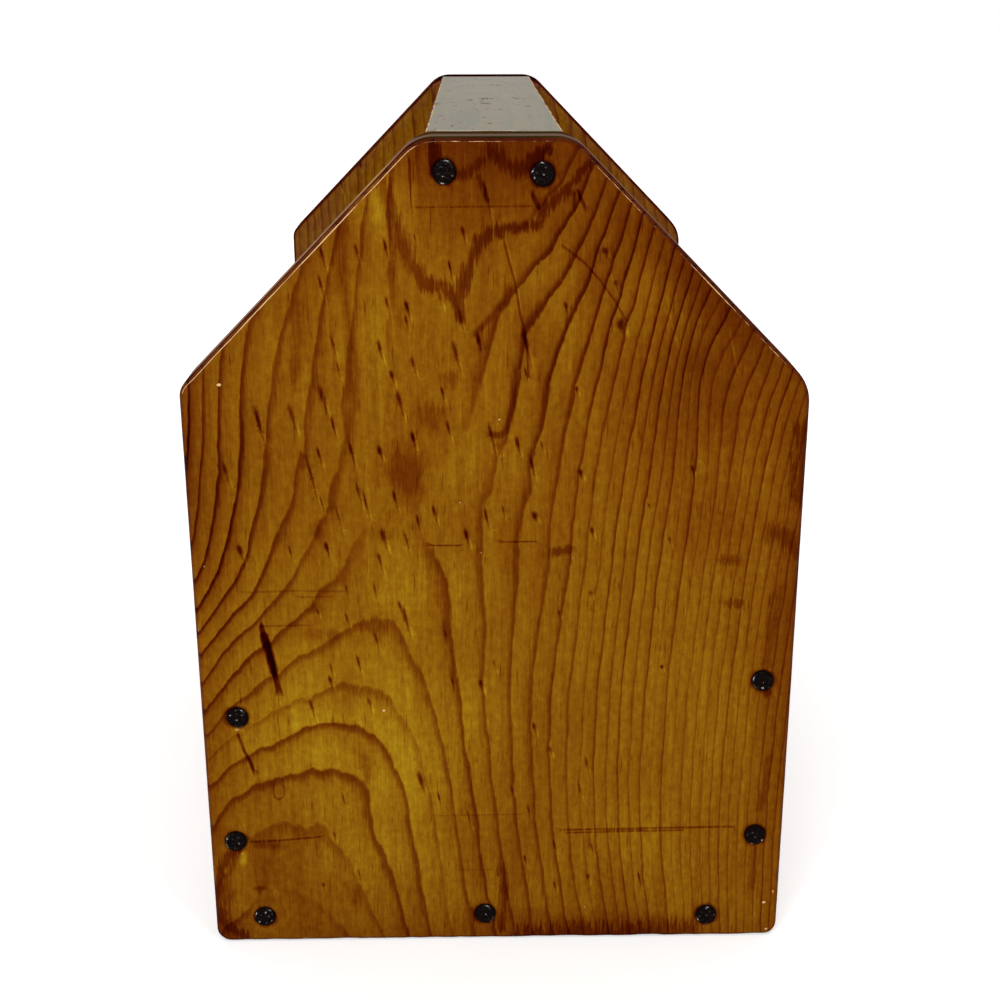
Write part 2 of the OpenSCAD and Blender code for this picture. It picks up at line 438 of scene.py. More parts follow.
def arris_profile(arris, thickness):
    """Rings from the outer face to the inner: inset, depth, and the shares of lip, arris, painted outer shade
    and rim.
    """
    steps = 6
    rounding = []
    for number in range(steps + 1):
        turn = math.pi / 2 * number / steps
        inset = arris * (1 - math.sin(turn))
        depth = arris * (1 - math.cos(turn))
        rounding.append((inset, depth, math.sin(2 * turn), math.sin(turn)))
    profile = []
    # The last two rings of the outer rounding and the first band ring carry the painted shade along the edge
    for number, (inset, depth, weight, rim) in enumerate(rounding):
        profile.append((inset, depth, float(number == 1), weight, float(number >= steps - 1), rim))
    for part, crest in ((0.14, 1.0), (0.26, 0.0), (0.5, 0.0), (0.74, 0.0), (0.86, 0.0)):
        profile.append((0.0, arris + (thickness - 2 * arris) * part, 0.0, 0.0, crest, 1.0))
    for number, (inset, depth, weight, rim) in enumerate(reversed(rounding)):
        profile.append((inset, thickness - depth, float(number in (1, 2)), weight, 0.0, rim))
    return profile


class Points:
    """Vertices of a board mesh: where each lies, its shares of the edge's parts, and the edge's facing."""

    def __init__(self, rows):
        (self.across, self.along, self.depth, self.lip, self.arris, self.crest, self.rim, self.aside,
         self.rise) = np.array(rows).T

    def near_face(self):
        """1 on the outer face, fading out below it."""
        return 1.0 - soft_step(self.depth, *MARK_FADE)

    def on_top(self):
        """1 on the edge at the top end of the grain."""
        return soft_step(self.rise, *TOP_FACING)


def smooth_mesh(name, shape):
    """Turn a finished shape into a smooth mesh."""
    bmesh.ops.recalc_face_normals(shape, faces=shape.faces)
    for face in shape.faces:
        face.smooth = True
    mesh = bpy.data.meshes.new(name)
    shape.to_mesh(mesh)
    shape.free()
    return mesh


def board_mesh(name, board, outline, normals, arris, outer_points, inner_points, outer_relief,
               inner_relief, loss):
    """A closed board mesh, and what is known of its vertices."""
    shape = bmesh.new()
    rows = []

    def add(across, along, depth, edge_shares=(0.0, 0.0, 0.0, 0.0), facing=(0.0, 0.0)):
        rows.append((across, along, depth, *edge_shares, *facing))
        return shape.verts.new(board.place(across, along, depth))

    rings = []
    for inset, depth, *edge_shares in arris_profile(arris, board.thickness):
        outer_side = depth < board.thickness / 2
        knock = loss(outline, outer_side) * edge_shares[1] * 0.7
        ring_depth = depth + (knock if outer_side else -knock)
        at = outline - normals * (inset + knock)[:, None]
        rings.append([
            add(a, b, d, edge_shares, facing) for (a, b), d, facing in zip(at, ring_depth, normals)
        ])
    count = len(outline)
    for upper, lower in zip(rings, rings[1:]):
        for index in range(count):
            after = (index + 1) % count
            shape.faces.new((upper[index], upper[after], lower[after], lower[index]))
    border = outline - normals * arris
    for ring, points, relief, from_outer in (
        (rings[0], outer_points, outer_relief, True),
        (rings[-1], inner_points, inner_relief, False),
    ):
        everything = [Vector(p) for p in np.concatenate([border, points])]
        made, _, faces, sources, _, _ = delaunay_2d_cdt(everything, [], [list(range(count))], 1, 1e-4)
        sunk = relief(np.array([p.x for p in made]), np.array([p.y for p in made]))
        corners = []
        for point, source, depth in zip(made, sources, sunk):
            on_border = [index for index in source if index < count]
            if on_border:
                corners.append(ring[on_border[0]])
            else:
                corners.append(add(point.x, point.y, depth if from_outer else board.thickness - depth))
        for face in faces:
            shape.faces.new([corners[index] for index in face])
    return smooth_mesh(name, shape), Points(rows)


def paint(mesh, name, values):
    """Keep one number per vertex for the material to read."""
    layer = mesh.attributes.new(name, "FLOAT", "POINT")
    layer.data.foreach_set("value", np.asarray(values, dtype=np.float32))


def add_piece(name, mesh, material, nodes):
    """Link a finished mesh as a piece that stands for the given nodes."""
    piece = bpy.data.objects.new(name, mesh)
    bpy.context.scene.collection.objects.link(piece)
    piece.data.materials.append(material)
    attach(piece, BODY)
    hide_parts(*nodes)


# Node wiring

class Wiring:
    """Adds nodes to one tree and joins them, so that a material reads as a list of steps."""

    def __init__(self, tree):
        self.tree = tree

    def node(self, kind, **settings):
        made = self.tree.nodes.new(kind)
        for name, value in settings.items():
            setattr(made, name, value)
        return made

    def feed(self, socket, value):
        """Join an output to a socket, or set the socket to a plain value."""
        if isinstance(value, bpy.types.NodeSocket):
            self.tree.links.new(value, socket)
        elif hasattr(value, "__len__") and len(socket.default_value) == 4:
            socket.default_value = (*value[:3], 1.0)
        else:
            socket.default_value = value

    def math(self, operation, *values, clamp=False):
        made = self.node("ShaderNodeMath", operation=operation, use_clamp=clamp)
        for socket, value in zip(made.inputs, values):
            self.feed(socket, value)
        return made.outputs[0]

    def total(self, start, *parts):
        """The start plus each value times its weight."""
        for value, weight in parts:
            start = self.math("MULTIPLY_ADD", value, weight, start)
        return start

    def scaled(self, vector, factor):
        made = self.node("ShaderNodeVectorMath", operation="SCALE")
        self.feed(made.inputs[0], vector)
        self.feed(made.inputs["Scale"], factor)
        return made.outputs["Vector"]

    def join(self, x, y, z):
        made = self.node("ShaderNodeCombineXYZ")
        for socket, value in zip(made.inputs, (x, y, z)):
            self.feed(socket, value)
        return made.outputs[0]

    def step(self, value, low, high):
        """Smooth step from 0 at low to 1 at high; a low above its high runs down."""
        made = self.node("ShaderNodeMapRange", interpolation_type="SMOOTHSTEP")
        for name, number in (("Value", value), ("From Min", low), ("From Max", high)):
            self.feed(made.inputs[name], number)
        return made.outputs["Result"]

    def noise(self, vector, scale=1.0, detail=2.0, roughness=0.5):
        made = self.node("ShaderNodeTexNoise")
        for name, value in (
            ("Vector", vector), ("Scale", scale), ("Detail", detail), ("Roughness", roughness),
        ):
            self.feed(made.inputs[name], value)
        return made.outputs["Fac"]

    def grain_noise(self, given, per_mm, along_per_mm, detail=2.0, roughness=0.5):
        """Noise in the board's own coordinates, scaled across the grain and along it."""
        stretched = self.join(
            self.math("MULTIPLY", given["Across"], per_mm),
            self.math("MULTIPLY", given["Depth"], per_mm),
            self.math("MULTIPLY", given["Along"], along_per_mm),
        )
        return self.noise(stretched, 1.0, detail, roughness)

    def bump(self, height, strength, distance):
        """A normal that follows a height, with plain strength and distance in metres."""
        made = self.node("ShaderNodeBump")
        made.inputs["Strength"].default_value = strength
        made.inputs["Distance"].default_value = distance
        self.feed(made.inputs["Height"], height)
        return made.outputs["Normal"]

    def mix(self, factor, first, second):
        made = self.node("ShaderNodeMix", data_type="RGBA")
        for index, value in ((0, factor), (6, first), (7, second)):
            self.feed(made.inputs[index], value)
        return made.outputs[2]

    def painted(self, name):
        """A number that the mesh keeps for each vertex."""
        return self.node("ShaderNodeAttribute", attribute_name=name).outputs["Fac"]

    def group(self, tree, **values):
        """Place a node group; underscores in the names stand for spaces."""
        made = self.node("ShaderNodeGroup", node_tree=tree)
        for name, value in values.items():
            self.feed(made.inputs[name.replace("_", " ")], value)
        return made.outputs


def new_group(name, inputs, outputs):
    """An empty shader node group, ready to be wired; a default of three numbers makes a colour socket."""
    tree = bpy.data.node_groups.new(name, "ShaderNodeTree")
    for socket, default in inputs.items():
        is_colour = hasattr(default, "__len__")
        kind = "NodeSocketColor" if is_colour else "NodeSocketFloat"
        made = tree.interface.new_socket(name=socket, in_out="INPUT", socket_type=kind)
        made.default_value = (*default, 1.0) if is_colour else default
    for socket in outputs:
        kind = "NodeSocketColor" if socket == "Colour" else "NodeSocketFloat"
        tree.interface.new_socket(name=socket, in_out="OUTPUT", socket_type=kind)
    wires = Wiring(tree)
    return wires, wires.node("NodeGroupInput").outputs, wires.node("NodeGroupOutput").inputs


def shared_group(name, inputs, outputs):
    """Marks a function that wires a node group: calling it makes the group once and then reuses it."""

    def mark(wire):
        def fetch():
            if name not in bpy.data.node_groups:
                wire(*new_group(name, inputs, outputs))
            return bpy.data.node_groups[name]

        return fetch

    return mark


def fresh_material(name):
    """A material with no nodes yet, and the wiring to fill it."""
    material = bpy.data.materials.new(name)
    material.use_nodes = True
    material.node_tree.nodes.clear()
    return material, Wiring(material.node_tree)


# Inputs that place a point in its board
BOARD_PLACE = {"Across": 0.0, "Depth": 0.0, "Along": 0.0}


@shared_group("Growth Rings", {
    **BOARD_PLACE, "Pith Across": 0.0, "Pith Depth": 60.0, "Lean": 0.0, "Bow": 0.0, "Bow Middle": 0.0,
    "Taper": 0.0, "Middle": 0.0, "Ring Width": 3.0, "Ring Start": 0.0, "Wander": 0.1,
}, ("Ring",))
def growth_rings_group(w, given, out):
    """Counts growth rings outwards from a leaning, bowed pith."""
    from_middle = w.math("SUBTRACT", given["Along"], given["Middle"])
    pith = w.math("MULTIPLY_ADD", given["Lean"], from_middle, given["Pith Across"])
    from_pith = w.math("SUBTRACT", given["Across"], pith)
    from_bow = w.math("SUBTRACT", given["Along"], given["Bow Middle"])
    bow = w.math("MULTIPLY", w.math("MULTIPLY", from_bow, from_bow), given["Bow"])
    below = w.math("SUBTRACT", w.math("SUBTRACT", given["Pith Depth"], given["Depth"]), bow)
    square = w.math("MULTIPLY_ADD", from_pith, from_pith, w.math("MULTIPLY", below, below))
    radius = w.math("MULTIPLY_ADD", given["Taper"], from_middle, w.math("SQRT", square))
    ring = w.math("ADD", w.math("DIVIDE", radius, given["Ring Width"]), given["Ring Start"])
    wander = w.grain_noise(given, 0.14, 0.06, 3.0, 0.5)
    w.feed(out["Ring"], w.math("MULTIPLY_ADD", w.math("SUBTRACT", wander, 0.5), given["Wander"], ring))


@shared_group("Late Wood", {"Ring": 0.0, "Line Start": 0.7, "Shade Start": 0.2}, ("Line", "Shade", "Tone"))
def late_wood_group(w, given, out):
    """Turns the ring count into a line that darkens outwards and then stops, and a tone for each ring."""
    within = w.math("FRACT", given["Ring"])
    tone = w.node("ShaderNodeTexWhiteNoise", noise_dimensions="1D")
    w.feed(tone.inputs["W"], w.math("FLOOR", given["Ring"]))
    stop = w.step(within, 1.0, 0.92)
    w.feed(out["Line"], w.math("MULTIPLY", w.step(within, given["Line Start"], 0.92), stop))
    w.feed(out["Shade"], w.math("MULTIPLY", w.step(within, given["Shade Start"], 0.95), stop))
    w.feed(out["Tone"], tone.outputs["Value"])


@shared_group("Wood Fibre", BOARD_PLACE, ("Drift", "Streak", "Hair", "Mottle", "Pore"))
def fibre_group(w, given, out):
    """Unevenness along the grain: slow drift, soft streaks, fine fibre, mottled varnish and short pores."""
    w.feed(out["Drift"], w.grain_noise(given, 0.04, 0.016, 2.0))
    w.feed(out["Streak"], w.grain_noise(given, 0.35, 0.02, 4.0, 0.65))
    w.feed(out["Hair"], w.grain_noise(given, 1.6, 0.09, 2.0, 0.65))
    w.feed(out["Mottle"], w.grain_noise(given, 0.5, 0.35, 3.0, 0.7))
    w.feed(out["Pore"], w.step(w.grain_noise(given, 1.3, 0.13, 1.0, 0.5), 0.63, 0.78))


@shared_group("Grain Dimples", {
    **BOARD_PLACE, "Cell Across": 9.0, "Cell Along": 15.0, "Lean": 0.2, "Share": 0.5, "Half Width": 0.6,
    "Half Length": 2.4,
}, ("Shift", "Core", "Tail"))
def dimple_group(w, given, out):
    """Lens-shaped dimples scattered along the grain: ring shift, dark core and a pale tail, partly paler
    fibre and partly a painted highlight.
    """
    leaned = w.math("MULTIPLY_ADD", given["Along"], given["Lean"], given["Across"])
    cell = w.join(
        w.math("DIVIDE", leaned, given["Cell Across"]),
        w.math("DIVIDE", given["Depth"], given["Cell Across"]),
        w.math("DIVIDE", given["Along"], given["Cell Along"]),
    )
    cells = w.node("ShaderNodeTexVoronoi", voronoi_dimensions="3D", feature="F1")
    w.feed(cells.inputs["Vector"], cell)
    w.feed(cells.inputs["Scale"], 1.0)
    apart = w.node("ShaderNodeVectorMath", operation="SUBTRACT")
    w.feed(apart.inputs[0], cell)
    w.feed(apart.inputs[1], cells.outputs["Position"])
    away = w.node("ShaderNodeSeparateXYZ")
    w.feed(away.inputs[0], apart.outputs[0])
    luck = w.node("ShaderNodeSeparateColor")
    w.feed(luck.inputs[0], cells.outputs["Color"])
    size = w.math("MULTIPLY_ADD", luck.outputs[1], 0.7, 0.6)
    u = w.math("DIVIDE", w.math("MULTIPLY", away.outputs[0], given["Cell Across"]),
               w.math("MULTIPLY", given["Half Width"], size))
    deep = w.math("DIVIDE", w.math("MULTIPLY", away.outputs[1], given["Cell Across"]), 2.5)
    v = w.math("DIVIDE", w.math("MULTIPLY", away.outputs[2], given["Cell Along"]),
               w.math("MULTIPLY", given["Half Length"], size))
    level = w.math("MULTIPLY_ADD", u, u, w.math("MULTIPLY", deep, deep))
    square = w.math("MULTIPLY_ADD", v, v, level)
    chosen = w.math("LESS_THAN", luck.outputs[0], given["Share"])
    w.feed(out["Core"], w.math("MULTIPLY", w.step(square, 1.2, 0.25), chosen))
    tail_v = w.math("MULTIPLY", w.math("ADD", v, 1.6), 0.6)
    tail = w.math("MULTIPLY_ADD", tail_v, tail_v, level)
    w.feed(out["Tail"], w.math("MULTIPLY", w.step(tail, 1.6, 0.2), chosen))
    wide_u = w.math("MULTIPLY", u, 0.3)
    wide_v = w.math("MULTIPLY", v, 0.45)
    wide = w.math("MULTIPLY_ADD", wide_u, wide_u, w.math("MULTIPLY", wide_v, wide_v))
    w.feed(out["Shift"], w.math("MULTIPLY", w.step(wide, 1.0, 0.0), chosen))


@shared_group("Varnished Tone", {
    "Palest": (0.3, 0.15, 0.01), "Depth": 0.0, "Red Fade": 1.0, "Green Fade": 1.8, "Blue Fade": 1.6,
}, ("Colour",))
def varnished_tone_group(w, given, out):
    """The colour of varnished wood from its palest colour and how deep it has gone; red falls slowest."""
    palest = w.node("ShaderNodeSeparateColor")
    w.feed(palest.inputs[0], given["Palest"])
    deepened = w.node("ShaderNodeCombineColor")
    down = w.math("MULTIPLY", given["Depth"], -1.0)
    for index, fade in enumerate(("Red Fade", "Green Fade", "Blue Fade")):
        kept = w.math("POWER", math.e, w.math("MULTIPLY", down, given[fade]))
        w.feed(deepened.inputs[index], w.math("MULTIPLY", palest.outputs[index], kept))
    w.feed(out["Colour"], deepened.outputs[0])


@shared_group("Edge Wear", {**BOARD_PLACE, "Painted": 0.0}, ("Worn", "Patch"))
def edge_wear_and_highlight_group(w, given, out):
    """Where rubbing has broken through the finish and where the lips hold a painted highlight, from a painted
    mask, and a slow patchiness for gloss.
    """
    rub = w.grain_noise(given, 0.3, 0.3, 4.0, 0.65)
    w.feed(out["Patch"], rub)
    w.feed(out["Worn"], w.step(w.math("MULTIPLY_ADD", rub, 0.9, given["Painted"]), 0.92, 1.1))


@shared_group("Grime Film", {"Amount": 0.5, "Patch": 0.5}, ("Mask",))
def grime_and_sheen_group(w, given, out):
    """A dull film of grime and painted sheen on faces that look up; the sheen stands in for light glancing
    off them.
    """
    facing = w.node("ShaderNodeSeparateXYZ")
    w.feed(facing.inputs[0], w.node("ShaderNodeNewGeometry").outputs["Normal"])
    up = w.step(facing.outputs[2], 0.75, 0.98)
    cover = w.math("MULTIPLY_ADD", given["Patch"], 0.5, 0.75, clamp=True)
    w.feed(out["Mask"], w.math("MULTIPLY", w.math("MULTIPLY", up, cover), given["Amount"]))


# Wood finish

class Growth:
    """How one board was cut from its tree: where the pith lay and how its rings run."""

    def __init__(self, pith_across, pith_depth, lean=0.0, bow=0.0, bow_middle=0.0, taper=0.0, middle=0.0,
                 ring_width=3.2, ring_start=0.0, wander=0.5):
        self.values = {
            "Pith_Across": pith_across, "Pith_Depth": pith_depth, "Lean": lean, "Bow": bow,
            "Bow_Middle": bow_middle, "Taper": taper, "Middle": middle, "Ring_Width": ring_width,
            "Ring_Start": ring_start, "Wander": wander,
        }


@dataclass
class Figure:
    """What one board's wood shows: its growth, swells that push its rings about, and marks on its face.

    The dimples are the share of cells that hold a scattered dimple, and the film is its cover of grime and
    painted sheen.
    """

    growth: Growth
    swells: tuple = ()
    crowd: tuple = (0.0, 0.0)
    dimples: float = 0.0
    zones: tuple = ()
    marks: tuple = ()
    stains: tuple = ()
    pencil: tuple = ()
    chips: tuple = ()
    lines: float = 0.7
    line_zones: tuple = ()
    base: float = 0.3
    film: float = 0.0

    def features(self):
        """The marks that need mesh points of their own."""
        return [*self.marks, *self.stains, *self.pencil, *self.chips]


@dataclass
class Finish:
    """How one board's varnish has aged and where light is painted on it: gloss of its faces and edges,
    rubbing with painted highlights along its lips, painted shade on its arris, outer rim, inner top arris and
    top end, and depth of its edges.
    """

    coat: float = 0.3
    roughness: float = 0.3
    edge_coat: float = 0.3
    wear_and_highlight: float = 0.8
    arris_wear_and_highlight: float = 0.0
    seam: float = 0.0
    arris_shade_depth: float = 0.2
    crest_depth: float = 0.0
    rim_depth: float = 0.15
    top_shade_depth: float = 0.0


def board_coordinates(w, board):
    """Across, depth and along in millimetres, from the object's own coordinates."""
    split = w.node("ShaderNodeSeparateXYZ")
    w.feed(split.inputs[0], w.scaled(w.node("ShaderNodeTexCoord").outputs["Object"], PER_METRE))
    depth = w.math("MULTIPLY", w.math("SUBTRACT", split.outputs[board.through], board.face), board.inward)
    return {"Across": split.outputs[board.across], "Depth": depth, "Along": split.outputs[board.along]}


def pine_material(name, board, wood, figure, aged):
    """Amber varnished pine for one board."""
    material, w = fresh_material(name)
    solid = board_coordinates(w, board)
    fibre = w.group(fibre_group(), **solid)
    hair = w.math("SUBTRACT", fibre["Hair"], 0.5)

    # Growth rings, pushed about by painted swells and by dimples, with edges that follow the fibres
    ring = w.group(growth_rings_group(), **solid, **figure.growth.values)["Ring"]
    ring = w.total(w.math("ADD", ring, w.painted("shift")), (hair, 0.13))
    if figure.dimples:
        dimples = w.group(dimple_group(), **solid, Share=figure.dimples)
        ring = w.math("MULTIPLY_ADD", dimples["Shift"], 0.3, ring)
    late = w.group(late_wood_group(), Ring=ring)

    # How deep the wood has gone: slow tone, ring lines, fibres and the painted marks
    bold = w.math("MULTIPLY", w.math("MULTIPLY_ADD", late["Tone"], 0.9, 0.55), w.painted("line"))
    line = w.math("MULTIPLY", late["Line"], bold)
    shade = w.math("MULTIPLY", late["Shade"], bold)
    ragged = w.total(0.95, (hair, 1.0), (w.math("SUBTRACT", fibre["Streak"], 0.5), 1.2))
    drawn = w.math("MULTIPLY", w.painted("pencil"), w.step(fibre["Hair"], 0.25, 0.6))
    deep = w.total(
        w.painted("tone"), (w.painted("mark"), ragged), (drawn, wood.pencil_depth),
        (w.math("SUBTRACT", fibre["Drift"], 0.5), 0.5), (w.math("SUBTRACT", fibre["Streak"], 0.5), 0.65),
        (w.math("SUBTRACT", fibre["Mottle"], 0.5), wood.mottle_depth), (late["Tone"], 0.08),
        (line, wood.line_depth), (shade, wood.shade_depth), (hair, wood.hair_depth),
        (fibre["Pore"], wood.pore_depth),
    )
    if figure.dimples:
        deep = w.total(deep, (dimples["Core"], wood.dimple_depth), (dimples["Tail"], -0.25))
    if figure.stains:
        tooth = w.grain_noise(solid, 1.3, 0.14, 2.0, 0.65)
        soaked = w.step(w.math("MULTIPLY_ADD", w.painted("stain"), 0.36, tooth), 0.56, 0.84)
        soaked = w.math("MULTIPLY", soaked, w.step(w.painted("stain"), 0.02, 0.3))
        deep = w.total(deep, (soaked, w.painted("stain_depth")))
    base = w.group(varnished_tone_group(), Palest=wood.early_colour, Depth=deep, Red_Fade=wood.fade[0],
                   Green_Fade=wood.fade[1], Blue_Fade=wood.fade[2])["Colour"]

    # Rubbed edges with painted highlights, and grime with painted sheen on faces that look up, with dark
    # specks, both scattered and drawn
    wear_and_highlight = w.group(edge_wear_and_highlight_group(), **solid, Painted=w.painted("bare"))
    dull = w.total(aged.roughness - 0.1, (wear_and_highlight["Patch"], 0.2), (wear_and_highlight["Worn"], 0.15))
    gloss = w.total(w.painted("gloss"), (wear_and_highlight["Worn"], -0.3))
    if figure.film:
        film = w.group(grime_and_sheen_group(), Amount=figure.film, Patch=wear_and_highlight["Patch"])["Mask"]
        fine = w.step(w.grain_noise(solid, 0.55, 0.22, 3.0, 0.7), 0.585, 0.645)
        clustered = w.step(w.grain_noise(solid, 0.07, 0.03, 2.0), 0.47, 0.62)
        specks = w.math("MAXIMUM", w.math("MULTIPLY", fine, clustered), drawn)
        grime_and_sheen = w.mix(specks, wood.grime_and_sheen_colour, wood.speck_colour)
        base = w.mix(film, base, grime_and_sheen)
        gloss = w.math("MULTIPLY", gloss, w.math("MULTIPLY_ADD", specks, -0.9, 1.0))
    # Rubbed edges and the painted highlights along the lips take the pale colour
    base = w.mix(wear_and_highlight["Worn"], base, wood.worn_and_highlight_colour)

    # Relief, and gloss from the coat alone: an IOR of 1 keeps the wood under it from mirroring
    height = w.total(w.math("MULTIPLY", line, 0.5), (fibre["Hair"], 0.6))
    finish = w.node("ShaderNodeBsdfPrincipled")
    w.feed(finish.inputs["Base Color"], base)
    w.feed(finish.inputs["Roughness"], dull)
    finish.inputs["IOR"].default_value = 1.0
    w.feed(finish.inputs["Normal"], w.bump(height, 0.25, 0.0001))
    w.feed(finish.inputs["Coat Weight"], w.math("MAXIMUM", gloss, 0.0))
    finish.inputs["Coat Roughness"].default_value = 0.15
    finish.inputs["Coat IOR"].default_value = 1.5
    w.feed(w.node("ShaderNodeOutputMaterial").inputs["Surface"], finish.outputs["BSDF"])
    return material


# Boards

def nail_craters(board):
    """The pressed wood round each nail head on a board's outer face."""
    return [
        Spot(across, along, HEAD_RADIUS, HEAD_RADIUS, 0.0, points=30,
             rings=(0.0, 0.5, 0.85, 0.95, 1.02, 1.1, 1.2, 1.4, 1.7, 2.1))
        for across, along in board.nails()
    ]


def crater_depth(craters, boards, across, along, seed):
    """Depth of the pressed wood at each point."""
    depth = np.zeros_like(across)
    press = boards.crater_depth * PER_METRE
    reach = boards.crater_width * PER_METRE
    for number, crater in enumerate(craters):
        away = crater.reach(across, along) * HEAD_RADIUS
        near = away < HEAD_RADIUS * 3
        if not near.any():
            continue
        uneven = 1.0 + 0.45 * noise_at(across[near], along[near], 3.5, 3.5, seed + number)
        from_rim = away[near] - HEAD_RADIUS
        bowl = press * uneven * (1.0 - soft_step(from_rim, 0.25, reach))
        seat = 1.15 * (1.0 - soft_step(from_rim, -0.15, 0.12))
        depth[near] = np.maximum(depth[near], np.maximum(bowl, seat))
    return depth


def wood_tone(points, figure, aged, from_edge):
    """How deep the wood has gone at each vertex before its grain and marks are added."""
    # Darker within 16 mm of the outline
    tone = figure.base + 0.16 * (1.0 - soft_step(from_edge, 0.0, 16.0))
    for patch in figure.zones:
        tone += patch.depth * patch.strength(points.across, points.along)
    # The rim depth is the end grain's own colour; the extra depth at the top end is painted shade
    end_grain_and_top_shade = aged.rim_depth + 0.4 * np.abs(points.rise) + aged.top_shade_depth * points.on_top()
    end_grain_and_top_shade *= points.rim
    # The arris and the outermost rings are darkened as painted shade
    return tone + end_grain_and_top_shade + aged.arris_shade_depth * points.arris + aged.crest_depth * points.crest


def mark_depth(points, figure, craters, wood, seed):
    """How much deeper the marks and the stains round the nails make each vertex."""
    across, along = points.across, points.along
    depth = np.zeros_like(across)
    for number, mark in enumerate(figure.marks):
        near = ~mark.clear(across, along)
        wobble = noise_at(across[near], along[near], 0.8, 5.0, seed + number)
        ragged = along[near] + mark.ragged * wobble
        depth[near] += mark.depth * mark.strength(across[near], ragged) * (1.0 + 0.4 * wobble)
    for number, crater in enumerate(craters):
        away = crater.reach(across, along)
        near = away < 2.5
        smear = 1.0 + 0.9 * noise_at(across[near], along[near], 2.2, 4.5, seed + number * 3.0)
        ring = 1.0 - soft_step(away[near], 0.95, 1.0 + 0.3 * np.maximum(smear, 0.05))
        depth[near] += wood.stain_depth * ring
    return depth * points.near_face()


def stain_cover(points, figure):
    """How sure it is that a stain covers each vertex, and how deep that stain has gone."""
    cover = np.zeros_like(points.across)
    depth = np.zeros_like(points.across)
    for stain in figure.stains:
        strength = stain.strength(points.across, points.along)
        depth = np.where(strength > cover, stain.depth, depth)
        cover = np.maximum(cover, strength)
    return cover * points.near_face(), depth


def wear_and_highlight_mask(points, board, figure, aged, seed):
    """How strong the rubbing and the painted highlight are at each vertex: lips of the edges that look up,
    and chips.
    """
    flat = 0.7 * (1.0 - np.abs(points.rise))
    upward = {board.along: points.rise, board.across: points.aside, board.through: flat}[AXIS_NUMBER["z"]]
    # Lips that look up get the stronger painted highlight, as light falls on them from above
    looks_up = soft_step(upward, -0.2, 0.5)
    slow = noise_at(points.across, points.along, 14.0, 14.0, seed + 90.0)
    rubbed = np.maximum(points.lip, aged.arris_wear_and_highlight * points.arris)
    worn_and_highlit = aged.wear_and_highlight * rubbed * (0.2 + 0.45 * looks_up + 0.4 * slow)
    if board.through == AXIS_NUMBER["z"]:
        worn_and_highlit *= 1.0 - np.abs(points.rise)
    if board.along == AXIS_NUMBER["z"]:
        kept = 0.36 * points.on_top() + 0.3 * soft_step(points.aside, 0.4, 0.6)
        worn_and_highlit *= 1.0 - kept
    for chip in figure.chips:
        worn_and_highlit = np.maximum(worn_and_highlit, chip.depth * chip.strength(points.across, points.along))
    return worn_and_highlit


def ring_shift(points, figure):
    """Growth rings added by crowding to one side, by the swells and by each dimple core."""
    start, rate = figure.crowd
    past = points.across - start
    shift = rate * 0.5 * (past + np.hypot(past, 10.0))
    for across, along, reach_across, reach_along, rings in figure.swells:
        a = (points.across - across) / reach_across
        b = (points.along - along) / reach_along
        shift += rings * np.exp(-a * a - b * b)
    for mark in figure.marks:
        if mark.shift:
            reach = mark.reach(points.across, points.along)
            shift += mark.shift * np.exp(-0.25 * reach * reach)
    return shift


def line_strength(points, figure):
    """How boldly the ring lines show at each vertex."""
    strength = np.full_like(points.across, figure.lines)
    for patch in figure.line_zones:
        strength *= 1.0 + patch.depth * patch.strength(points.across, points.along)
    return strength


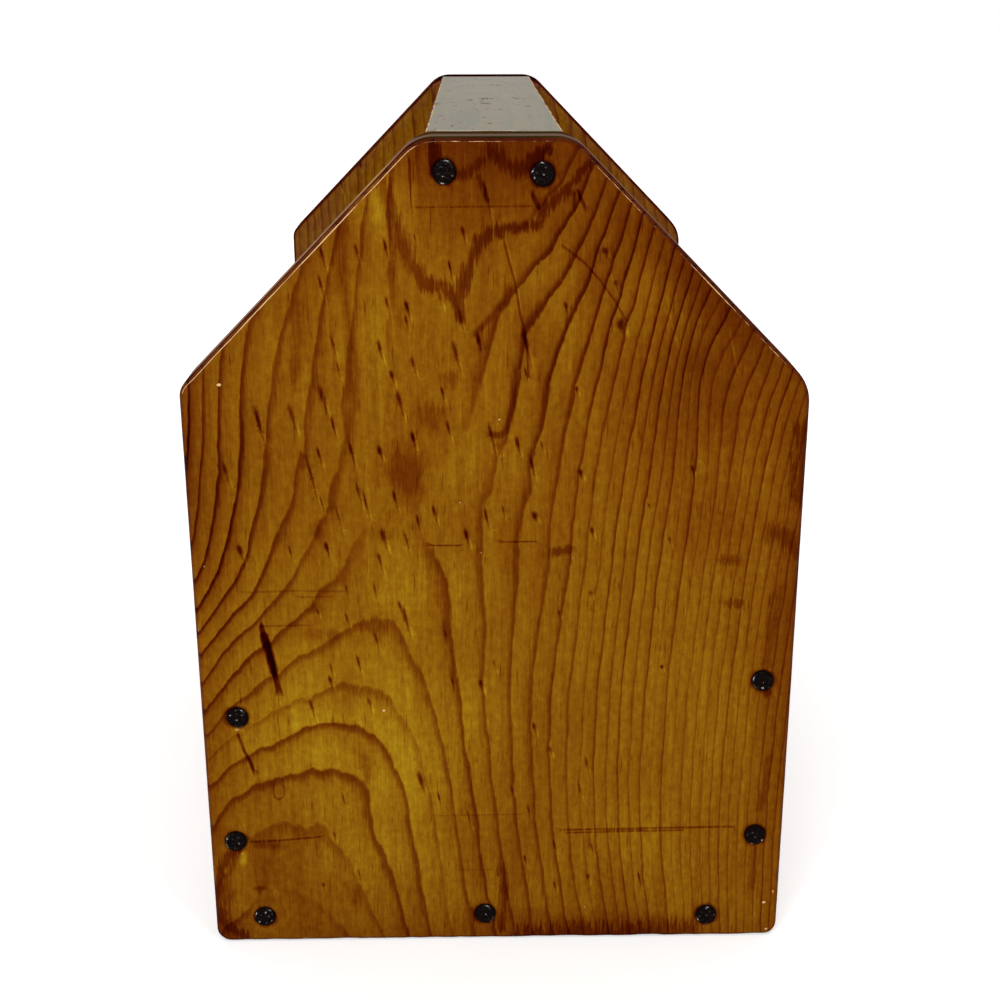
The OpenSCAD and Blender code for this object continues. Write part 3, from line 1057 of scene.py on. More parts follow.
def build_board(context, name, board, corners, arris, figure, aged, seed, step, inner_step):
    """Mesh, painted masks and piece for one board."""
    boards = context.scene.caddy_boards
    wood = context.scene.caddy_wood
    outline, normals = rounded_outline(corners, step * 0.9)
    craters = nail_craters(board)
    border = outline - normals * arris
    outer_points = face_points(border, normals, step, craters + figure.features())
    inner_points = face_points(border, normals, inner_step, [])
    plane = boards.planing * PER_METRE

    def outer_relief(across, along):
        depth = plane * (1.0 + noise_at(across, along, *PLANING_WAVE, seed))
        for mark in figure.marks:
            depth += 0.05 * max(0.0, mark.depth) * mark.strength(across, along)
        for chip in figure.chips:
            depth += 0.2 * chip.strength(across, along)
        return depth + crater_depth(craters, boards, across, along, seed)

    def inner_relief(across, along):
        return plane * (1.0 + noise_at(across, along, *PLANING_WAVE, seed + 7.0))

    def loss(points, outer_side):
        side = seed + (0.0 if outer_side else 50.0)
        knock = noise_at(points[:, 0], points[:, 1], 9.0, 9.0, side)
        fine = noise_at(points[:, 0], points[:, 1], 2.5, 2.5, side + 3.0)
        return boards.edge_loss * PER_METRE * np.clip(0.15 + 0.9 * knock + 0.35 * fine, 0.0, 1.0)

    mesh, points = board_mesh(name, board, outline, normals, arris, outer_points, inner_points,
                              outer_relief, inner_relief, loss)
    # The inner arris along the top gets painted shadow for the gap by the handle, and no lip highlight
    seam = aged.seam * (points.depth > board.thickness / 2) * points.on_top()
    points.lip *= 1.0 - seam
    points.crest = np.maximum(points.crest, seam * points.rim)
    from_edge = edge_distance(np.stack([points.across, points.along], 1), outline)
    pencil = np.zeros_like(points.across)
    for line in figure.pencil:
        pencil = np.maximum(pencil, line.depth * line.strength(points.across, points.along))
    pencil *= points.near_face()
    paint(mesh, "tone", wood_tone(points, figure, aged, from_edge))
    paint(mesh, "mark", mark_depth(points, figure, craters, wood, seed))
    cover, stain_depth = stain_cover(points, figure)
    paint(mesh, "stain", cover)
    paint(mesh, "stain_depth", stain_depth)
    paint(mesh, "shift", ring_shift(points, figure))
    paint(mesh, "line", line_strength(points, figure))
    paint(mesh, "pencil", pencil)
    paint(mesh, "bare", wear_and_highlight_mask(points, board, figure, aged, seed))
    # The coat is left off the rings with painted shade, so they stay matt
    paint(mesh, "gloss", (aged.coat + (aged.edge_coat - aged.coat) * points.rim) * (1.0 - points.crest))
    material = pine_material(name + "_pine", board, wood, figure, aged)
    add_piece(name, mesh, material, [board.node])


def gable_corners(board, boards):
    """The end board's outline, anticlockwise as seen from the front, as (across, along, radius) corners."""
    left, right = board.low[0], board.high[0]
    bottom, top = board.low[2], board.high[2]
    half_top = boards.top_width * PER_METRE / 2
    shoulder = boards.shoulder_height * PER_METRE
    foot = boards.foot_round * PER_METRE
    crown = boards.top_round * PER_METRE
    return [
        (left, bottom, foot),
        (right, bottom, foot),
        (right, shoulder, boards.right_shoulder_round * PER_METRE),
        (half_top, top, crown),
        (-half_top, top, crown),
        (left, shoulder, boards.left_shoulder_round * PER_METRE),
    ]


def plank_corners(board, radius):
    """A straight plank's outline."""
    low_across, high_across = board.low[board.across], board.high[board.across]
    low_along, high_along = board.low[board.along], board.high[board.along]
    return [
        (low_across, low_along, radius), (high_across, low_along, radius),
        (high_across, high_along, radius), (low_across, high_along, radius),
    ]


def dimple_cores(rows):
    """Dark lens-shaped cores, each with a thin dark end and a pale streak below it, partly paler fibre and
    partly a painted highlight.

    A row gives across, along, half length, half width and depth.
    """
    made = []
    for across, along, half_length, half_width, depth in rows:
        core = Spot(across, along, half_length * 1.25, half_width * 1.1, depth * 1.5, core=0.1, shift=0.12,
                    points=12, rings=(0.0, 0.3, 0.6, 0.85, 1.1, 1.5))
        made.append(core)
        dark_end = ((0.1, -1.0), 1.1, 0.5, depth * 0.7)
        pale_streak_and_highlight = ((0.9, -1.5), 1.5, 0.6, -0.5)
        for place, longer, wider, tail_depth in (dark_end, pale_streak_and_highlight):
            made.append(Spot(*core.at(*place), half_length * longer, half_width * wider, tail_depth,
                             core=0.0, rings=(0.0, 0.4, 0.75, 1.1)))
    return made


def zone(across, along, half_length, half_width, depth, lean=0.0, core=0.0):
    """A broad soft patch that needs no mesh points."""
    return Spot(across, along, half_length, half_width, depth, lean=lean, core=core)


# The front board's figure, in millimetres from its bottom middle.
# Dimples: across, along, half length, half width and depth
FRONT_DIMPLES = (
    (-69.5, 178, 4, 0.7, 1.2), (-80, 162.8, 2.5, 0.7, 1.0), (-77, 137.2, 1.8, 1.0, 1.3),
    (-55, 162, 5, 0.5, 1.1), (-52.2, 167.5, 2.2, 0.5, 1.0), (-50.7, 185.5, 3, 0.9, 0.8),
    (-47.7, 176.5, 2.2, 0.5, 1.1), (-42.7, 168.5, 2.5, 0.6, 1.3), (-52, 152.5, 2, 0.4, 0.8),
    (-51, 138.2, 1.6, 0.7, 1.3), (-62, 137, 1.8, 0.4, 0.8), (-47.2, 148, 3, 0.3, 0.7),
    (-41, 156, 3, 0.4, 0.7), (-59.7, 179.7, 3, 0.8, 0.7), (-34.2, 168.2, 1.6, 0.8, 1.2),
    (-24.4, 172.2, 1.8, 0.7, 1.5), (-30.2, 191.2, 1.5, 0.7, 1.2), (-28.2, 183.7, 3, 0.7, 0.9),
    (-15.6, 186, 1.6, 0.5, 1.1), (-14, 175.2, 2.2, 0.5, 1.0), (-1.5, 173, 3.5, 0.6, 1.2),
    (6.2, 170.5, 2, 0.7, 1.1), (-30.2, 153.7, 2.2, 0.6, 1.2), (-39, 153, 3, 0.4, 0.9),
    (-18.5, 149.2, 2, 0.6, 1.1), (-23.5, 146.5, 2, 0.5, 1.1), (-33.9, 141.5, 2.5, 0.9, 1.1),
    (-27.1, 140.7, 2.2, 0.4, 1.0), (-9, 141.7, 2, 0.7, 1.1), (-3.1, 148, 2.5, 0.5, 1.1),
    (2, 149.7, 1.5, 0.4, 0.7), (11.5, 147.7, 1.2, 1.2, 1.0), (10.5, 164, 2.5, 0.6, 1.0),
    (-49.1, 226.7, 2.8, 0.6, 1.1), (-39.2, 227.2, 2, 0.5, 0.9), (-31.1, 228.5, 2, 0.5, 1.1),
    (-49.7, 218, 2.5, 0.5, 0.9), (-31, 212.2, 2, 0.5, 0.9), (-25.3, 211, 2, 0.6, 1.3),
    (-25.6, 207, 1.5, 0.4, 0.9), (-33.5, 199.5, 2.3, 0.6, 0.9), (-23.9, 194.7, 2, 0.6, 1.0),
    (-11.7, 198, 3, 0.7, 1.0), (-47, 201, 2.3, 0.5, 0.7), (-45.7, 193.5, 2, 0.3, 0.6),
    (-13, 222.7, 1.8, 0.4, 1.1), (-9.2, 232.4, 1.5, 0.6, 1.1), (-10.2, 208.5, 2.5, 0.4, 1.0),
    (-22.7, 230.7, 1.2, 0.3, 0.7), (-16, 214.2, 2, 0.6, 0.7), (-2.6, 242.7, 3.2, 0.5, 0.9),
    (8.5, 201, 3.5, 0.8, 1.1), (8.7, 191.5, 1.5, 0.4, 0.9), (-5, 201.5, 2.2, 0.8, 1.1),
    (20, 211, 1.2, 0.7, 1.1), (31, 226.7, 1.1, 1.1, 1.2), (36, 205.5, 1.6, 1.5, 1.3),
    (34.2, 217.5, 1, 0.8, 0.9), (-54.5, 117.2, 1, 0.5, 0.7), (-45.5, 124.5, 1.5, 0.4, 0.7),
    (-45.7, 115, 2, 0.5, 0.7), (-42.7, 100.5, 2, 0.5, 1.1), (-51.5, 94, 1.6, 0.7, 1.1),
    (-51.2, 98.5, 1.6, 0.4, 0.6), (-57.7, 85.5, 2.5, 0.5, 0.9), (-35.2, 134, 2.2, 0.5, 1.1),
    (-37, 124.5, 1.8, 0.5, 0.6), (-28, 115.5, 3.3, 0.8, 1.2), (-29.5, 119, 1.4, 0.5, 1.0),
    (-37, 108.2, 2, 0.5, 0.8), (-15.7, 109.5, 1.5, 0.3, 0.6), (-0.7, 99.2, 1.5, 0.4, 0.6),
    (-5, 92.5, 1.5, 0.8, 1.1), (-13.7, 93.5, 1.2, 0.5, 0.6), (-39.7, 86.5, 1.5, 0.5, 0.7),
    (25, 161, 1.2, 0.9, 1.1), (28.7, 142.7, 1.2, 0.7, 0.9), (45.7, 150.5, 0.8, 0.4, 0.8),
    (52.2, 139.5, 1.1, 0.5, 0.8), (58.2, 162, 1.2, 0.6, 0.8), (23.5, 186.5, 0.9, 0.6, 0.9),
    (13.5, 169.5, 1.2, 0.4, 0.7), (11.7, 77.5, 1.5, 0.7, 0.9), (16.7, 69.5, 1.2, 0.7, 0.7),
    (51.2, 97.7, 0.7, 0.6, 1.2), (19.2, 116, 1, 0.5, 0.6), (28.7, 122.5, 1, 0.8, 0.6),
    (28.2, 65, 2, 0.6, 0.6), (-24.3, 59.5, 2.6, 0.9, 1.1), (-18.6, 53, 1.8, 0.4, 1.1),
    (4.7, 55.3, 1.2, 0.5, 0.9), (26.3, 55.5, 2, 0.5, 0.7), (-49, 53, 1.8, 0.4, 0.6),
    (-52.2, 39.5, 1.2, 0.4, 0.7), (-56.5, 21, 0.8, 0.6, 0.8), (9, 30, 1.4, 0.4, 0.9),
    (29.5, 23, 1.2, 0.6, 1.0), (18.7, 20, 1.5, 0.5, 1.0), (46.2, 22.5, 2.2, 0.4, 0.9),
    (30.5, 34, 2, 0.4, 0.7), (-9.2, 46, 2.5, 0.35, 0.6), (10, 48, 1.6, 0.4, 0.7),
    (18.5, 35, 2, 0.4, 0.8), (-44.7, 25, 2.2, 0.3, 0.6),
)

# Darker and paler lines that the rings do not give
FRONT_STROKES = (
    Stroke(((22, 243), (22, 239)), 0.2, 0.5, 1.0),
    Stroke(((23, 243.5), (25, 239)), 0.2, 0.5, 1.0),
    Stroke(((10.5, 242.5), (12, 239)), 0.3, 0.6, 1.1),
    Stroke(((2, 231), (3.5, 225), (5.5, 218), (7, 208.5), (8.5, 203.5), (9, 197), (9.5, 190)), 0.1, 0.4, 0.7),
    Stroke(((2.6, 231), (4.1, 225), (6.1, 218), (7.6, 208.5)), 0.05, 0.35, -0.2),
    Stroke(((4, 216), (2, 212), (-2, 207), (-6, 203)), 0.3, 1.0, 0.6),
    Stroke(((5.5, 192), (5, 181), (3, 174), (1, 172.3), (-1.5, 173)), 0.4, 0.9, 0.7),
    Stroke(((-43.2, 236), (-43.5, 217), (-42, 207), (-41, 195), (-41.5, 180), (-43, 172)), 0.4, 2.0, 0.35),
    Stroke(((-55.5, 212), (-56.5, 200), (-58, 190)), 0.5, 2.2, 0.35),
    Stroke(((19, 228), (25, 223.5), (29.5, 218.5), (34, 212.5), (37.5, 206.5)), 0.1, 0.4, 0.7),
    Stroke(((31.5, 224), (35, 213.5)), 0.1, 0.4, -0.2),
    Stroke(((67.5, 203), (69, 197), (70, 192)), 0.1, 0.4, -0.4),
    Stroke(((49, 213), (50.5, 206), (53, 198)), 0.1, 0.4, -0.25),
    Stroke(((-72, 112.5), (-70.6, 106), (-69.3, 100), (-68, 93.5), (-67.6, 91)), 0.5, 0.6, 1.5),
    Stroke(((-71.2, 109), (-69.6, 101.5), (-68.7, 97)), 1.0, 0.6, 1.5),
    Stroke(((-81, 75.5), (-79.5, 70), (-78, 67), (-77, 63)), 0.2, 0.5, 1.2),
    Stroke(((-79, 67.5), (-77.5, 65.5), (-77, 63.5)), 0.3, 0.5, 0.8),
    Stroke(((-77, 123.6), (-60, 123.9), (-46, 123.6)), 0.1, 0.4, 0.3),
    Stroke(((-60, 121.8), (-50, 121.9)), 0.1, 0.3, 0.3),
    Stroke(((-72, 112.3), (-58, 112.6)), 0.1, 0.3, 0.45),
    Stroke(((-19, 138.2), (-11, 138.2)), 0.1, 0.3, 0.8),
    Stroke(((2, 139.2), (12, 139.2)), 0.1, 0.25, 0.7),
)

# Stains with ragged edges: an old zigzag near the top, the lower left corner, and smears along the edges
FRONT_STAINS = (
    Stroke(((-33, 251), (-31, 243), (-28.5, 236), (-26, 229), (-23.5, 223), (-21, 219)), 0.1, 3.6, 0.65),
    Stroke(((-20.5, 218), (-18.5, 216.8), (-16.2, 217.4)), 0.6, 3.0, 0.8),
    Stroke(((-15.2, 217.5), (-13, 214.5), (-10.8, 211.2), (-9.9, 207)), 0.1, 2.4, 0.8),
    Stroke(((-10.6, 211.5), (-9.4, 217), (-7.8, 222), (-6, 226), (-4.3, 229.6)), 0.2, 3.0, 0.85),
    Stroke(((-4.3, 229.6), (-1.8, 231.8), (0.8, 232.4)), 0.5, 3.2, 0.9),
    Stroke(((0.8, 232.8), (4, 233.2), (8, 233.4), (11.7, 233.9)), 0.1, 2.6, 0.95),
    Stroke(((13, 237), (15, 239.3), (17.4, 241.3), (20, 243.6)), 0.3, 2.6, 0.9),
    Stroke(((20, 243.6), (22.5, 246.8), (25, 250), (27.4, 252.4)), 0.1, 1.9, 0.85),
    Stroke(((-16.6, 248.5), (-16.8, 256)), 0.5, 2.0, 1.2),
    Stroke(((-11.5, 247.6), (-8.5, 247.9), (-5.6, 250), (-4.2, 251.2)), 0.1, 2.6, 0.75),
    Stroke(((-4.6, 247.5), (-2.4, 241)), 0.1, 1.3, 0.7),
    Stroke(((-1, 254.5), (2.5, 251.2), (6.5, 249.6), (10, 250.6)), 0.4, 3.6, 0.75),
    Stroke(((9.6, 252.4), (12, 253.4), (14.8, 254.6)), 0.4, 2.4, 1.0),
    Stroke(((-84.5, 34), (-88, 29.5), (-90.3, 22), (-90.8, 15), (-90, 8), (-87.5, 4.5), (-83, 2.2)),
           0.1, 3.2, 0.8),
    Stroke(((1.5, 26), (2.5, 19), (1.5, 12), (1, 4)), 0.1, 2.4, 0.7),
    Stroke(((9, 0), (17, 0)), 0.5, 8.0, 0.8), Stroke(((23, 0), (30, 0)), 0.5, 10.0, 0.75),
    Stroke(((33, 0), (45, 0.5)), 0.5, 6.5, 0.7), Stroke(((50, 0.5), (62, 1)), 0.5, 8.5, 0.6),
    Stroke(((90.5, 174), (90.5, 162), (91, 152)), 0.2, 5.0, 0.65),
    Stroke(((82, 141.5), (86, 141), (91, 136)), 0.4, 4.5, 0.55),
    Stroke(((86, 122), (84.5, 110), (83.5, 98)), 0.1, 3.0, 0.25),
    Stroke(((86.5, 66), (85.5, 56), (84.5, 47)), 0.1, 2.4, 0.35),
    Stroke(((83.5, 38), (83, 18)), 0.1, 2.6, 0.3),
    Stroke(((17.5, 136), (22, 136.4)), 0.4, 2.0, 0.7),
    Stroke(((68, 133), (73, 132.5)), 0.1, 2.6, 0.5),
    Stroke(((70, 118.8), (75, 118.5)), 0.1, 2.4, 0.5),
    Spot(-26.5, 161.5, 13.0, 9.5, 0.3, core=0.0), Spot(-19.5, 177.5, 8.0, 8.0, 0.3, core=0.0),
    Spot(-13.5, 189.5, 5.0, 4.5, 0.35, core=0.0), Spot(-88.5, 18, 12.0, 5.0, 0.45, core=0.0),
)

# Patches, deeper or paler than the wood about them
FRONT_PATCHES = (
    Spot(-53.5, 143, 4.5, 2.2, 0.4), Spot(-77, 20, 1.2, 2.6, 0.8, lean=0.0),
    Spot(-72, 18, 3.0, 1.5, -0.35), Spot(-81.8, 31, 3.4, 1.6, -0.6, lean=-4.0),
    Spot(-80.5, 77.2, 1.4, 2.8, -0.4, lean=0.0), Spot(84.6, 88.3, 2.3, 1.7, 1.2),
    Spot(-73, 36, 2.6, 7.0, 0.6, lean=-5.0), Spot(-42, 65, 8.0, 2.6, 0.4), Spot(-46, 16, 8.0, 3.0, 0.4),
    Spot(-50, 109, 3.0, 2.5, 0.4), Spot(-56, 109.5, 3.0, 6.0, 0.3, lean=0.0),
)

# Broad soft zones of tone
FRONT_ZONES = (
    zone(0, 262, 46, 50, 0.85), zone(62, 190, 40, 45, 0.47), zone(94, 110, 110, 18, 0.3),
    zone(-92, 165, 55, 20, 0.15), zone(0, -4, 17, 110, 0.16), zone(-62, 18, 28, 26, 0.15),
    zone(-92, 2, 14, 16, 0.6), zone(-27, 162, 15, 12, 0.3), zone(-18.5, 178, 9, 9, 0.26),
    zone(-42, 75, 44, 50, -0.3, core=0.35), zone(-32, 205, 26, 16, -0.14), zone(58, 195, 9, 8, 0.25),
    zone(40, 4, 8, 30, 0.35), zone(40, 100, 60, 45, 0.02), zone(-55, 205, 18, 10, 0.12),
    zone(5, 25, 40, 25, 0.1), zone(-75, 27, 16, 9, 0.3), zone(-65, 165, 30, 12, 0.12),
    zone(30, 226, 22, 20, 0.35), zone(-32, 244, 18, 13, -0.65), zone(-22, 124, 22, 28, -0.28),
    zone(66, 144, 22, 22, 0.3), zone(-40, 32, 18, 28, -0.25), zone(46, 36, 26, 20, -0.22),
    zone(8, 6, 10, 26, 0.2), zone(-48, 90, 14, 16, 0.25), zone(10, 202, 16, 10, 0.2),
    zone(57, 221, 48, 13, 0.55, lean=45.0),
)

# Zones where the ring lines show more or less
FRONT_LINE_ZONES = (
    zone(-22, 172, 36, 30, -0.85, core=0.3), zone(-8, 236, 30, 24, -1.0, core=0.4),
    zone(-64, 14, 24, 24, -0.8, core=0.4), zone(-33, 205, 28, 12, -0.8), zone(-48, 130, 18, 16, -0.4),
    zone(36, 218, 48, 40, 1.3), zone(-88, 150, 75, 28, 2.2), zone(75, 190, 40, 30, 0.6),
    zone(-60, 70, 50, 45, 0.25), zone(-32, 141, 16, 18, -0.9, core=0.3),
    zone(56, 58, 80, 42, -0.32, core=0.3), zone(-48, 90, 16, 26, 0.4), zone(14, 188, 36, 16, 0.7),
)

# Layout lines
FRONT_PENCIL = (
    Stroke(((-23.8, 239), (9.7, 239.2)), 0.16, 0.25, 0.5),
    Stroke(((-18, 46), (8, 46.3)), 0.1, 0.3, 0.35),
    Stroke(((-12, 26), (-2, 26)), 0.1, 0.3, 0.3),
    Stroke(((-23.8, 239), (-23.8, 252)), 0.2, 0.3, 0.9),
    Stroke(((-79, 37.2), (-70, 37.6), (-57, 38.8)), 0.18, 0.3, 0.9),
    Stroke(((21, 40.4), (45, 40.6), (75, 40.9)), 0.22, 0.3, 0.8),
    Stroke(((22, 39.3), (40, 39.5), (60, 39.8)), 0.16, 0.25, 0.8),
    Stroke(((34, 39.8), (47, 40.1)), 0.35, 0.4, 0.7),
    Stroke(((-70.9, 57), (-71.1, 55), (-70.6, 53.3), (-69.3, 52.4), (-68, 53.3), (-67.5, 55), (-67.7, 57)),
           0.15, 0.3, 0.7),
)

# Places knocked down to raw wood
FRONT_CHIPS = (
    Spot(-80.3, 188.3, 0.8, 1.2, 0.8), Spot(-4.5, 135.7, 0.5, 0.5, 0.7),
    Spot(-10.8, 151.7, 0.5, 0.4, 0.7), Spot(1, 177.3, 0.5, 0.6, 0.6), Spot(-88, 132, 0.6, 0.5, 0.6),
    Spot(23, 134, 0.5, 0.5, 0.6), Spot(87.5, 12.4, 0.7, 1.1, 0.9), Spot(90.3, 16.5, 0.6, 0.5, 0.8),
    Spot(90.6, 8.3, 0.6, 0.5, 0.8), Spot(88.7, 2.3, 0.4, 0.8, 0.8), Spot(84.7, 8.2, 0.4, 0.4, 0.6),
    Spot(-35.2, 83.4, 0.6, 0.7, 0.8), Spot(-82.3, 32.8, 1.0, 0.6, 0.52),
    Spot(-80.8, 77.1, 0.8, 2.4, 0.53, lean=0.0), Spot(68, 3.2, 1.2, 0.5, 0.5),
    Spot(28.5, 11.5, 0.5, 0.4, 0.6),
)

FRONT_FIGURE = Figure(
    Growth(pith_across=-30.0, pith_depth=80.0, lean=0.25, bow=0.0008, bow_middle=60.0, taper=0.17,
           middle=130.0, ring_width=3.15, ring_start=-18.2, wander=0.45),
    swells=(
        (-100, 58, 34, 42, -3.0), (-88, 104, 22, 18, -0.75), (-84, 215, 27, 58, -3.3),
        (-52, 155, 26, 45, 0.45), (-8, 70, 24, 60, 0.65), (-30, 108, 16, 18, 0.1),
        (-42, 58, 26, 22, -0.42), (-52, 77, 14, 8, -0.2), (-38, 42, 8, 12, 0.25),
        (-30, -8, 50, 40, 1.45), (45, -14, 40, 42, -1.9), (-10, 150, 26, 28, 0.65),
        (22, 130, 14, 30, -0.4), (-15, 215, 15, 15, 0.25), (8, 205, 18, 28, 0.75),
        (85, 205, 30, 25, -1.0), (62, 193, 12, 23, 1.7),
    ),
    crowd=(28.0, 0.055), zones=FRONT_ZONES, stains=FRONT_STAINS, pencil=FRONT_PENCIL, chips=FRONT_CHIPS,
    marks=(*dimple_cores(FRONT_DIMPLES), *FRONT_STROKES, *FRONT_PATCHES),
    lines=0.48, line_zones=FRONT_LINE_ZONES, base=0.27, film=0.22,
)
REAR_FIGURE = Figure(
    Growth(pith_across=24.0, pith_depth=66.0, lean=-0.12, bow=0.0006, bow_middle=110.0, taper=0.12,
           middle=130.0, ring_width=3.6, ring_start=0.3, wander=0.6),
    swells=((58.0, 60.0, 30.0, 44.0, 1.6), (-50.0, 190.0, 26.0, 40.0, -1.2)), dimples=0.35,
    lines=0.45,
)
LEFT_FIGURE = Figure(
    Growth(pith_across=78.0, pith_depth=46.0, lean=0.05, bow=0.0004, bow_middle=-30.0, taper=0.05,
           ring_width=3.8, wander=0.6),
    swells=((50.0, 60.0, 20.0, 45.0, 1.2),), dimples=0.35,
)
RIGHT_FIGURE = Figure(
    Growth(pith_across=30.0, pith_depth=52.0, lean=-0.06, bow=0.0005, bow_middle=40.0, taper=0.06,
           ring_width=3.4, ring_start=0.4, wander=0.6),
    swells=((80.0, -50.0, 22.0, 40.0, -1.3),), dimples=0.35,
)
BOTTOM_FIGURE = Figure(
    Growth(pith_across=18.0, pith_depth=58.0, lean=0.08, bow=0.0005, bow_middle=20.0, taper=0.08,
           ring_width=4.0, ring_start=0.2, wander=0.7),
    swells=((-40.0, -60.0, 28.0, 50.0, 1.5),), dimples=0.3,
)
# The handle's larger grime specks: across, along, half length, half width and depth
HANDLE_SPECKS = (
    (-7, -12, 4, 1.1, 0.9), (-8.2, -10, 3, 0.6, 0.6), (-2.3, -5, 7, 0.5, 0.9), (0.9, -5, 5, 0.5, 0.7),
    (-1.6, -29, 5, 1.5, 0.8), (0, -32, 4, 0.6, 0.7), (-1.4, -56, 3, 0.5, 0.8), (3.2, -58, 4, 0.8, 0.6),
    (1.9, 78, 4, 1.4, 0.5), (4.5, 75, 5, 1.0, 0.7), (9.3, -2, 5, 0.8, 0.6), (10.4, -6, 4, 0.7, 0.6),
    (13.2, -5, 4, 0.8, 0.6), (13.1, -43, 6, 0.9, 0.5), (-0.9, -112, 4, 0.8, 0.9),
    (-19, -32, 7, 0.6, 0.8), (-2.6, -89, 4, 0.4, 0.7), (-10, -66, 4, 0.4, 0.6),
    (-16.4, -83, 4, 0.6, 0.7), (-12.4, -121, 3, 0.7, 0.8),
)
HANDLE_FIGURE = Figure(
    Growth(pith_across=-6.0, pith_depth=-34.0, lean=0.03, bow=0.0002, bow_middle=-20.0, taper=0.03,
           ring_width=3.0, ring_start=0.1, wander=0.5),
    pencil=tuple(Spot(*speck, lean=0.0) for speck in HANDLE_SPECKS), base=0.42, film=0.65,
)

FRONT_FINISH = Finish(coat=0.0, roughness=0.35, edge_coat=0.12, wear_and_highlight=1.3, seam=1.0, arris_shade_depth=0.6,
                      crest_depth=1.5, rim_depth=-0.45)
REAR_FINISH = Finish(coat=0.1, edge_coat=0.0, wear_and_highlight=0.0, arris_shade_depth=0.9, rim_depth=0.5, top_shade_depth=1.8)
TRAY_FINISH = Finish()
HANDLE_FINISH = Finish(coat=0.39, roughness=0.4, edge_coat=0.0, wear_and_highlight=1.6, arris_wear_and_highlight=0.3)


class CADDY_OT_end_boards(Operator):
    """Build the two gabled end boards"""

    bl_idname = "caddy.end_boards"
    bl_label = "End Boards"

    def execute(self, context):
        boards = context.scene.caddy_boards
        arris = boards.end_arris * PER_METRE
        step = boards.face_step * PER_METRE
        for node, name, outer, figure, aged, seed, outer_step, inner_step in (
            ("front_end", "front_gable", "low", FRONT_FIGURE, FRONT_FINISH, 11.0, step, step * 1.8),
            ("rear_end", "rear_gable", "high", REAR_FIGURE, REAR_FINISH, 23.0, step * 1.2, step * 1.2),
        ):
            board = Board(node, "xzy", outer)
            build_board(context, name, board, gable_corners(board, boards), arris, figure, aged,
                        seed, outer_step, inner_step)
        return {"FINISHED"}


class CADDY_OT_tray_boards(Operator):
    """Build the two side boards and the bottom board"""

    bl_idname = "caddy.tray_boards"
    bl_label = "Tray Boards"

    def execute(self, context):
        boards = context.scene.caddy_boards
        arris = boards.tray_arris * PER_METRE
        step = boards.face_step * PER_METRE * 1.3
        for node, axes, outer, figure, seed in (
            ("left_side", "zyx", "low", LEFT_FIGURE, 37.0),
            ("right_side", "zyx", "high", RIGHT_FIGURE, 41.0),
            ("bottom", "xyz", "low", BOTTOM_FIGURE, 53.0),
        ):
            board = Board(node, axes, outer)
            corners = plank_corners(board, arris * CORNER_ROOM)
            build_board(context, node + "_plank", board, corners, arris, figure, TRAY_FINISH, seed,
                        step, step)
        return {"FINISHED"}


class CADDY_OT_handle_bar(Operator):
    """Build the flat handle bar"""

    bl_idname = "caddy.handle_bar"
    bl_label = "Handle Bar"

    def execute(self, context):
        boards = context.scene.caddy_boards
        arris = boards.handle_arris * PER_METRE
        step = boards.face_step * PER_METRE
        bar = Board("handle", "xyz", "high")
        corners = plank_corners(bar, arris * CORNER_ROOM)
        build_board(context, "handle_bar", bar, corners, arris, HANDLE_FIGURE, HANDLE_FINISH,
                    67.0, step, step)
        return {"FINISHED"}


# Nails

def nail_material(nails):
    """Blackened, hammered steel with a little rust, and painted glints of light on its head."""
    name = "blackened_steel"
    if name in bpy.data.materials:
        return bpy.data.materials[name]
    material, w = fresh_material(name)
    where = w.scaled(w.node("ShaderNodeTexCoord").outputs["Object"], PER_METRE)
    bloom = w.noise(where, 0.9, 4.0, 0.65)
    grain = w.noise(where, 5.0, 3.0, 0.6)
    finish = w.node("ShaderNodeBsdfPrincipled")
    dark = w.mix(w.step(bloom, 0.55, 0.72), nails.metal_colour, nails.rust_colour)
    # Painted glints: where the painted glint share is high, a dim grey chequer and pale specks stand in for
    # light caught by the head
    spark = w.math("SUBTRACT", w.noise(where, 2.0, 2.0, 0.6), 0.5)
    dull = w.math("MULTIPLY", w.step(w.total(w.painted("glint"), (spark, 1.6)), 0.0, 1.0), 0.07)
    glint_mask = w.step(w.total(w.painted("glint"), (spark, 2.2)), 0.85, 1.05)
    w.feed(finish.inputs["Base Color"], w.mix(w.math("MAXIMUM", dull, glint_mask), dark, nails.glint_colour))
    w.feed(finish.inputs["Roughness"], w.math("MULTIPLY_ADD", grain, 0.25, 0.08))
    # A low IOR keeps the black heads from mirroring the white surround
    finish.inputs["IOR"].default_value = 1.06
    w.feed(finish.inputs["Normal"], w.bump(grain, 0.5, 0.0002))
    w.feed(w.node("ShaderNodeOutputMaterial").inputs["Surface"], finish.outputs["BSDF"])
    return material


